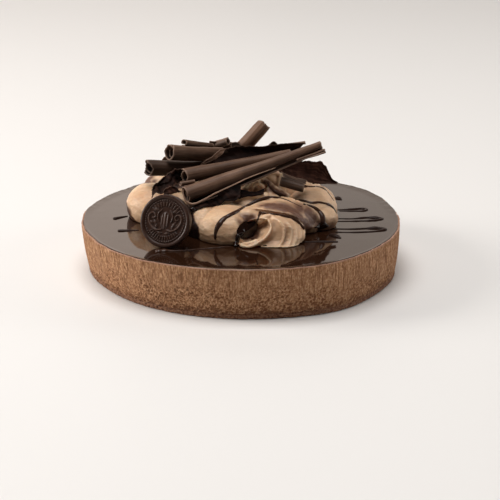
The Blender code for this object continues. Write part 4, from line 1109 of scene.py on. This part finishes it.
def curl(name, start, end, radius_start, radius_end, turns, edge, sense, flare, ragged_start, ragged_end,
         tongue, cut, tone):
    """A rolled sheet: round its axis the reach falls by one pitch a turn from the radius there, the free
    edge flares, lengthwise ridges, slow swells and an oval section vary it, both ends are broken, and the
    inner turns start further in."""
    seed = seed_of(name)
    length = np.linalg.norm(end - start)
    along = (end - start) / length
    side = np.cross(along, (0, 0, 1))
    side /= np.linalg.norm(side)
    up = np.cross(side, along)
    rows = max(24, int(length / 0.7))
    columns = max(30, int(turns * (44 + 5 * radius_start)))
    share, part = np.meshgrid(np.linspace(0, 1, rows), np.linspace(0, 1, columns), indexing="ij")
    run, unwound = share * length, part * turns
    radius = radius_start * (1 - share) + radius_end * share - SHEET / 2
    angle = math.radians(edge) + sense * TAU * turns * part
    reach = np.maximum(radius - PITCH * turns * part, 0.7)
    reach = reach + flare * np.maximum(0, 1 - unwound * 4.5) ** 2 * (1 - 0.4 * share)
    unrolled = unwound * TAU * (radius_start + radius_end) / 2
    ridges = layered(seed, (256, 8), 2, unrolled / 1.5 + 7, run / 45 + 3)
    swell = layered(seed + 3, (32, 32), 2, unwound * 1.3 + 5, run / 14 + 4)
    tight = np.minimum(1, radius / 5)
    oval = 0.035 * np.cos(2 * angle + seed + 1.5 * share)
    reach = reach * (1 + oval) + (0.13 * ridges + 0.34 * swell) * tight
    toward = np.cos(angle) * (side @ TO_EYE) + np.sin(angle) * (up @ TO_EYE)
    chip = layered(seed + 5, (256,), 2, unrolled / 4.5 + 3)
    splinter = layered(seed + 7, (512,), 2, unrolled / 1.2 + 3)
    nick_start = ragged_start * (np.round(chip * 3) / 3 + 0.3 * splinter + 0.1)
    nick_start = nick_start + cut * toward - tongue * np.maximum(0, np.sin(angle + 0.3)) ** 2
    nick_start = nick_start + 3.0 * np.clip(unwound - 0.97, 0, 0.25) / 0.25
    nick_end = ragged_end * layered(seed + 6, (256,), 3, unrolled / 2.6 + 3)
    slide = nick_start * np.clip(1 - run / 11, 0, 1) + nick_end * np.clip(1 - (1 - share) * length / 6, 0, 1)
    bend = 0.45 * min(1, length / 60) * np.sin(np.pi * share)
    sway = 0.35 * min(1, length / 60) * np.sin(TAU * share + seed)
    points = start + (end - start) * share[..., None] + along * slide[..., None]
    points = points + side * (reach * np.cos(angle) + sway)[..., None] + up * (reach * np.sin(angle) - bend)[..., None]
    from_edge = unwound * TAU * radius
    from_end = np.minimum(share, 1 - share) * length
    thin = 0.80 + 0.20 * np.clip(from_end / 2 + 0.2, 0, 1) + (0.25 if flare else 0) * np.clip(1 - from_edge / 2, 0, 1)
    pale = np.clip(1.3 - np.minimum(from_edge * 0.9 + (0.9 if flare else 0), from_end * 1.1), 0, 1)
    # Painted light and shade: the colour is scaled up on faces turned to the sky and down on undersides, less so
    # towards the end of the roll
    level = step(0.80, 0.45, abs(along[2]))
    skyward = np.cos(angle) * side[2] + np.sin(angle) * up[2]
    under, over = level * step(-0.50, 0.70, -skyward), level * step(0.0, 1.0, skyward)
    band = layered(seed + 12, (64, 8), 2, unrolled / 5 + 3, run / 70 + 2)
    shade = tone * (1 + 0.28 * over - (0.83 - 0.69 * share) * under) * (1 + 0.16 * swell + 0.26 * band)
    uv = np.stack([run * MM, unrolled * MM], -1)
    return points, SHEET * thin, uv, {"edge": pale * min(1, tone), "tone": shade}


# Shards: name, lower and upper edge from left to right, bow of the middle, raggedness, crumple, how far the
# left end is pale and crushed, and the tone of the chocolate
SHARDS = read_named("""
shard_dark | -31.3 -8.5 80.7, -19.7 -7.5 83.4, -4.2 -4.5 85.4, 11.4 .5 87.4, 28 5 88.5, 38 7.5 90.5, 46 8.5 93.5 |
-33.2 -8.5 83.5, -24.3 -6 88, -19.7 -3 93.8, -12 0 96.3, -1.2 2 97.8, 16 4 97, 36.3 7.5 98.7, 49 9 98.4 | 3 .45 .45
3.5 1.25;
shard_back_right | 22 1.5 84, 27 1.5 76.4, 39.8 3 70.3, 49.3 5 67.7, 60.5 7 66.4, 75.5 8 65.8 | 24 5 88.5, 33.4 7
86.6, 38.1 8 84.5, 43.7 9 82.9, 50 10 83.4, 54.7 11 84, 58.7 11 82.8, 61.8 11 83.7, 65.8 11 80.4, 69.1 10 75, 71.5 9
69.6, 76.3 8 67 | 2 .8 .45 2 3.1;
flake_right | 33 -15.5 76.8, 41.5 -16.5 74.3, 50 -16.5 72.8 | 30.7 -11 80.9, 37 -11 78, 43.2 -11 76, 51.3 -12 74.2 |
.6 .5 .25 1 .85;
flake_left_dark | -68.6 -30 64.7, -65.1 -31 69, -62 -32 67.3, -57.4 -32 71.4, -52.9 -30 72.8, -50.1 -24 73.4, -48
-18 74.5, -44.9 -17 75.8 | -68 -26 72.3, -65.4 -24 74.9, -61.6 -22 77.2, -57.1 -20.5 80.4, -52.5 -19.5 83.3, -47.9
-18.5 84.6, -44.1 -17.5 84 | 2 1.6 2 1 1.1;
flake_left_low | -59.6 -37 68.6, -54.1 -38 70, -48.6 -38 71, -45.5 -37 71.6 | -59 -36 72.6, -55 -36.5 76.2, -51.6
-36 76.4, -48.8 -35.5 74.4 | .5 .9 1 0 1.6;
flake_middle | -33.9 -25.5 62, -23.9 -26 63, -12.4 -25 65.2, -2.4 -24 69 | -40.2 -20 70.3, -27.1 -19.5 72.7, -13.3
-19 75, -1 -18 77.7 | .3 .6 .5 0 .8;
shard_back_left | -61.2 16 74, -48.5 16 73.3, -35.9 17 73.9, -23.2 18 75.3 | -62.2 17 82.3, -59.6 17.5 84.9, -48.5
18 84.6, -35.9 19 84, -22.5 20 83 | 1 .8 .3 1 .8;
flake_top | 19.2 9.5 92.7, 24.7 10 93, 31 11 93.6 | 20.8 9 96.1, 25 9 99.8, 29.4 10 96.3 | .5 .4 .2 1 .7;
flake_top_left | -8.2 4 94, -4.3 4.5 93.9, 1.2 5 94.2 | -8.2 4.5 99.5, -4.3 5 100.2, -.4 5 97.9 | .4 .4 .2 1 .45""")
# Pieces given the near-black finish, which is partly painted shade
DARK_PIECES = {"shard_dark", "shard_back_right", "flake_left_dark", "flake_left_low", "flake_middle",
               "flake_under_left", "flake_under_right"}


def shard(name, lower, upper, bow, ragged, crumple, pale_end, tone, tree=None):
    """A thin sheet between two edges, bowed back in the middle, crumpled by noise and torn at its edges.
    With a tree it leans on the cream, folded only towards the eye."""
    seed = seed_of(name)
    length = evenly(line_through(lower, 0.5), 3)[1]
    count = max(40, int(length / 0.5))
    low, high = (evenly(line_through(edge, 0.5), count)[0] for edge in (lower, upper))
    width = np.linalg.norm(high - low, axis=1).mean()
    across = max(16, int(width / 0.5))
    s, t = np.meshgrid(np.linspace(0, 1, count), np.linspace(0, 1, across), indexing="ij")
    run, rise = s * length, t * width

    def torn(k, at):
        return ragged * layered(seed + k, (256,), 3, at + 4)

    def chance(k, layers, *at):
        return layered(seed + k, (64, 64), layers, *(a + 3 for a in at))

    tear_low, tear_high = torn(0, run / 2.6) / width, torn(1, run / 2.6) / width
    place = t * (1 + tear_high) + (1 - t) * tear_low
    points = low[:, None] * (1 - place)[..., None] + high[:, None] * place[..., None]
    tear_ends = torn(2, rise / 2.2) * np.sign(s - 0.5) * np.abs(2 * s - 1) ** 4
    way = (low[-1] - low[0]) / np.linalg.norm(low[-1] - low[0])
    points = points + way * tear_ends[..., None]
    from_left = np.minimum(run, (1 - t) * width + np.maximum(0, run - 0.3 * length))
    crushed = np.clip(1 - from_left / max(pale_end, 0.1), 0, 1)
    lean = run + 0.8 * t * width
    creases = np.abs(chance(8, 1, lean / 6, rise / 2.2))
    fold = crumple * (chance(3, 2, lean / 7, rise / 3.5) + 0.9 * creases)
    fold = fold + 1.6 * crushed * chance(9, 2, run / 2.5, rise / 2.5)
    lines = 0.06 * layered(seed + 4, (64, 256), 2, run / 25 + 3, rise / 0.9 + 3)
    if tree is not None:
        points = softened(in_front(tree, points.reshape(-1, 3), 0.9).reshape(points.shape), 4)
        points[..., 1] -= np.abs(fold)
        fold = 0 * fold
    points[..., 1] += 4 * t * (1 - t) * bow + (fold + lines) * np.sqrt(np.clip(4 * t * (1 - t) + 0.4, 0, 1))
    points[..., 2] += 0.5 * crumple * chance(6, 2, run / 5, rise / 4)
    from_edge = np.minimum(np.minimum(t, 1 - t) * width, np.minimum(s, 1 - s) * length)
    thick = SHEET * (0.5 + 0.5 * np.clip(from_edge / 2.5, 0, 1))
    uv = np.stack([run * MM, rise * MM], -1)
    leafy = 0.6 + 0.4 * chance(10, 2, run / 2, rise / 2)
    pale = np.clip(np.clip(1 - from_edge / 0.6, 0, 1) * 0.6 + 1.3 * crushed * leafy, 0, 1)
    vary = chance(11, 2, lean / 2.4, rise / 5)
    if name not in DARK_PIECES:
        return points, thick, uv, {"edge": pale, "tone": tone * (1 + 0.5 * vary)}
    pale = pale * (0.4 if tree is None else 0.1)
    return points, thick, uv, {"edge": pale, "tone": tone * np.exp((1.4 if "flake" in name else 0.45) * vary)}


# Dark flakes that lean on the cream under the front curl, built as the shards; their near-black colour is partly
# painted shade
LAID_FLAKES = read_named("""
flake_under_left | -36.1 -40.5 57.4, -31.2 -40.5 59.5, -29 -40.5 60.8, -25.8 -40.5 61.5, -19.6 -40.5 61.8, -14.9
-40.5 63.5, -12.2 -40.5 66, -6.4 -40.5 66.3, -3.9 -40.5 66.7, -.9 -40.5 68.6 | -38.2 -32 61.2, -34.4 -32 62.1, -31.3
-32 63.4, -26 -32 66.5, -19.7 -32 69.9, -12.3 -32 73.6, -5.5 -32 76.8, -.2 -32 76.5 | 0 .7 .9 0 .9;
flake_under_right | -1.6 -32 65.1, 3.2 -32 66.6, 8.3 -32 67.5, 14.1 -32 68.1, 17.1 -32 69.1 | -2.4 -28 72.6, 2.2 -28
71.2, 6.8 -28 70.2, 11.4 -28 70.1, 15.2 -28 71.1, 18.2 -28 73.1 | 0 .5 .5 0 .8""")


# Crushed bits: a leaf at the left end of the dark shard, and a sheet behind the small back curls
BITS = read_named("""
sheet_behind | -26 14 89.6, -16.9 14 90, -10.6 14.5 90, 1 15 90.4 | -25 14 98, -16.9 14 98.4, -10.6 14.5 97.6, .5 15
97.2 | .3 .4 .4 0 .55;
pale_leaf | -31.3 -11.5 85.8, -27.3 -11 87.5, -22.7 -10 89.2, -18.1 -8.5 91.3, -14.3 -6.5 94.4 | -30.8 -11.5 86.8,
-26.5 -11 89.9, -23.1 -10 91.8, -19.7 -8 94.7, -15.8 -6 96.9, -12 -4 96.7 | .4 .4 .8 0 1.7""")


# The edge of the front curl's outer turn, a pale rod that paints the highlight where light catches it: points and the
# half width there
FLAP_EDGE = read_points("""
-44.1 -44.5 75.6 .35, -43.5 -44.5 70.8 .5, -41.6 -44 66.6 .7, -38.7 -43.2 64.5 .8, -35.3 -42.5 64.2 .8, -31.2 -41.6
65.6 .75, -25.9 -40.5 68.3 .65, -19.6 -39.2 71.6 .6, -12.3 -37.6 74.8 .5, -3.4 -35.8 78.6 .45, 2.8 -34.4 81.4 .4,
9.1 -33 83.8 .32, 17.5 -31.3 86.6 .26, 26 -29.5 89.3 .16""")


def flap_edge():
    """A rod along the edge, its thickness varied by noise, its pale colour a painted highlight."""
    rows = line_through(FLAP_EDGE, 0.5)
    rows[:, 1] += 1.5
    rows[:, 2] -= 0.5
    width = rows[:, 3] * (1 + 0.2 * layered(240, (256,), 2, np.arange(len(rows)) * 0.3))
    return turned_piece("curl_front_painted_highlight_edge", rod(rows[:, :3], width, 12), PAINTED_EDGE_HIGHLIGHT, edge=0.0, tone=1.0)


def curls_and_shards(tree):
    """Every rolled or broken piece of chocolate, each a piece of its own."""
    for name, (start,), (end,), (values,) in CURLS:
        settle(sheet(name + "_rolled", *curl(name, start, end, *values), CHOCOLATE), "chocolate", name)
    settle(flap_edge(), "chocolate")
    name, (start,), (end,), (values,) = LIP_ROLL
    settle(sheet(name, *curl(name, start, end, *values), CHOCOLATE), "chocolate")
    for name, lower, upper, (values,) in SHARDS:
        finish = SHADED_DARK_CHOCOLATE if name in DARK_PIECES else CHOCOLATE
        settle(sheet(name + "_broken", *shard(name, lower, upper, *values), finish), "chocolate", name)
    for name, lower, upper, (values,) in BITS:
        settle(sheet(name, *shard(name, lower, upper, *values), CHOCOLATE), "chocolate")
    for name, lower, upper, (values,) in LAID_FLAKES:
        obj = sheet(name + "_broken", *shard(name, lower, upper, *values, tree), SHADED_DARK_CHOCOLATE)
        settle(obj, "chocolate", name)


# ---------------------------------------------------------------- floor, light and eye

def floor():
    """The plain pale ground."""
    mesh = bpy.data.meshes.new("pale_floor")
    corners = [(-4, -4, 0), (4, -4, 0), (4, 4, 0), (-4, 4, 0)]
    mesh.from_pydata(corners, [], [(0, 1, 2, 3)])
    f = Finish("pale_floor", (0.760, 0.743, 0.724), Roughness=0.55, Specular_IOR_Level=0.3)
    mesh.materials.append(f.material)
    placed("pale_floor", mesh)


def soft_light(name, place, aim, size, power, colour):
    """A rectangle of light at a place in metres, turned to its aim."""
    light = bpy.data.lights.new(name, "AREA")
    light.shape = "RECTANGLE"
    light.size, light.size_y = size
    light.energy = power
    light.color = colour
    obj = placed(name, light)
    obj.location = place
    obj.rotation_euler = (Vector(aim) - Vector(place)).to_track_quat("-Z", "Y").to_euler()


def lighting():
    """A bright wall of light behind, a soft light above and a low one at the left; the eye's side is dim, and
    the pale floor throws light back on to the front."""
    world = bpy.data.worlds.new("soft_room")
    world.use_nodes = True
    room = world.node_tree.nodes["Background"].inputs
    room["Color"].default_value = (1.0, 0.97, 0.94, 1)
    room["Strength"].default_value = 0.048
    bpy.context.scene.world = world
    soft_light("wall_left", (-1.9, 3.2, 1.3), (-1.9, 0, 1.3), (3.8, 2.6), 36, (1.0, 0.875, 0.785))
    soft_light("wall_right", (1.9, 3.2, 1.3), (1.9, 0, 1.3), (3.8, 2.6), 23, (1.0, 0.90, 0.81))
    soft_light("soft_above", (-0.25, -0.14, 2.3), (0, 0.0, 0.0), (1.9, 1.5), 48, (1.0, 0.99, 0.985))
    soft_light("low_left", (-1.9, 0.05, 0.75), (0, 0, 0.03), (0.9, 0.9), 35.2, (1.0, 0.965, 0.925))
    soft_light("low_right", (1.9, 0.3, 0.7), (0, 0, 0.03), (0.8, 0.8), 10, (1.0, 0.98, 0.95))


def eye():
    """The camera, turned by yaw and pitch and then rolled about its sight line."""
    yaw, pitch, roll = (math.radians(a) for a in (EYE_YAW, EYE_PITCH, EYE_ROLL))
    forward = Vector((math.sin(yaw) * math.cos(pitch), math.cos(yaw) * math.cos(pitch), -math.sin(pitch)))
    right = forward.cross(Vector((0, 0, 1))).normalized()
    up = right.cross(forward)
    right, up = right * math.cos(roll) + up * math.sin(roll), up * math.cos(roll) - right * math.sin(roll)
    data = bpy.data.cameras.new("eye")
    data.sensor_width, data.lens = EYE_SENSOR, EYE_LENS
    data.clip_end = 20
    obj = placed("eye", data)
    obj.matrix_world = Matrix.Translation(Vector(EYE) * MM) @ Matrix((right, up, -forward)).transposed().to_4x4()
    bpy.context.scene.camera = obj
    bpy.context.scene.view_settings.view_transform = "Standard"


eye()
lighting()
floor()
crumb_base()
cheesecake()
glaze()
glaze_lines()
mound = cream()
tree = BVHTree.FromPolygons([v.co for v in mound.data.vertices], [tuple(p.vertices) for p in mound.data.polygons])
cream_lines(tree)
sauce_pools(tree)
medallion()
curls_and_shards(tree)

bpy.context.view_layer.update()
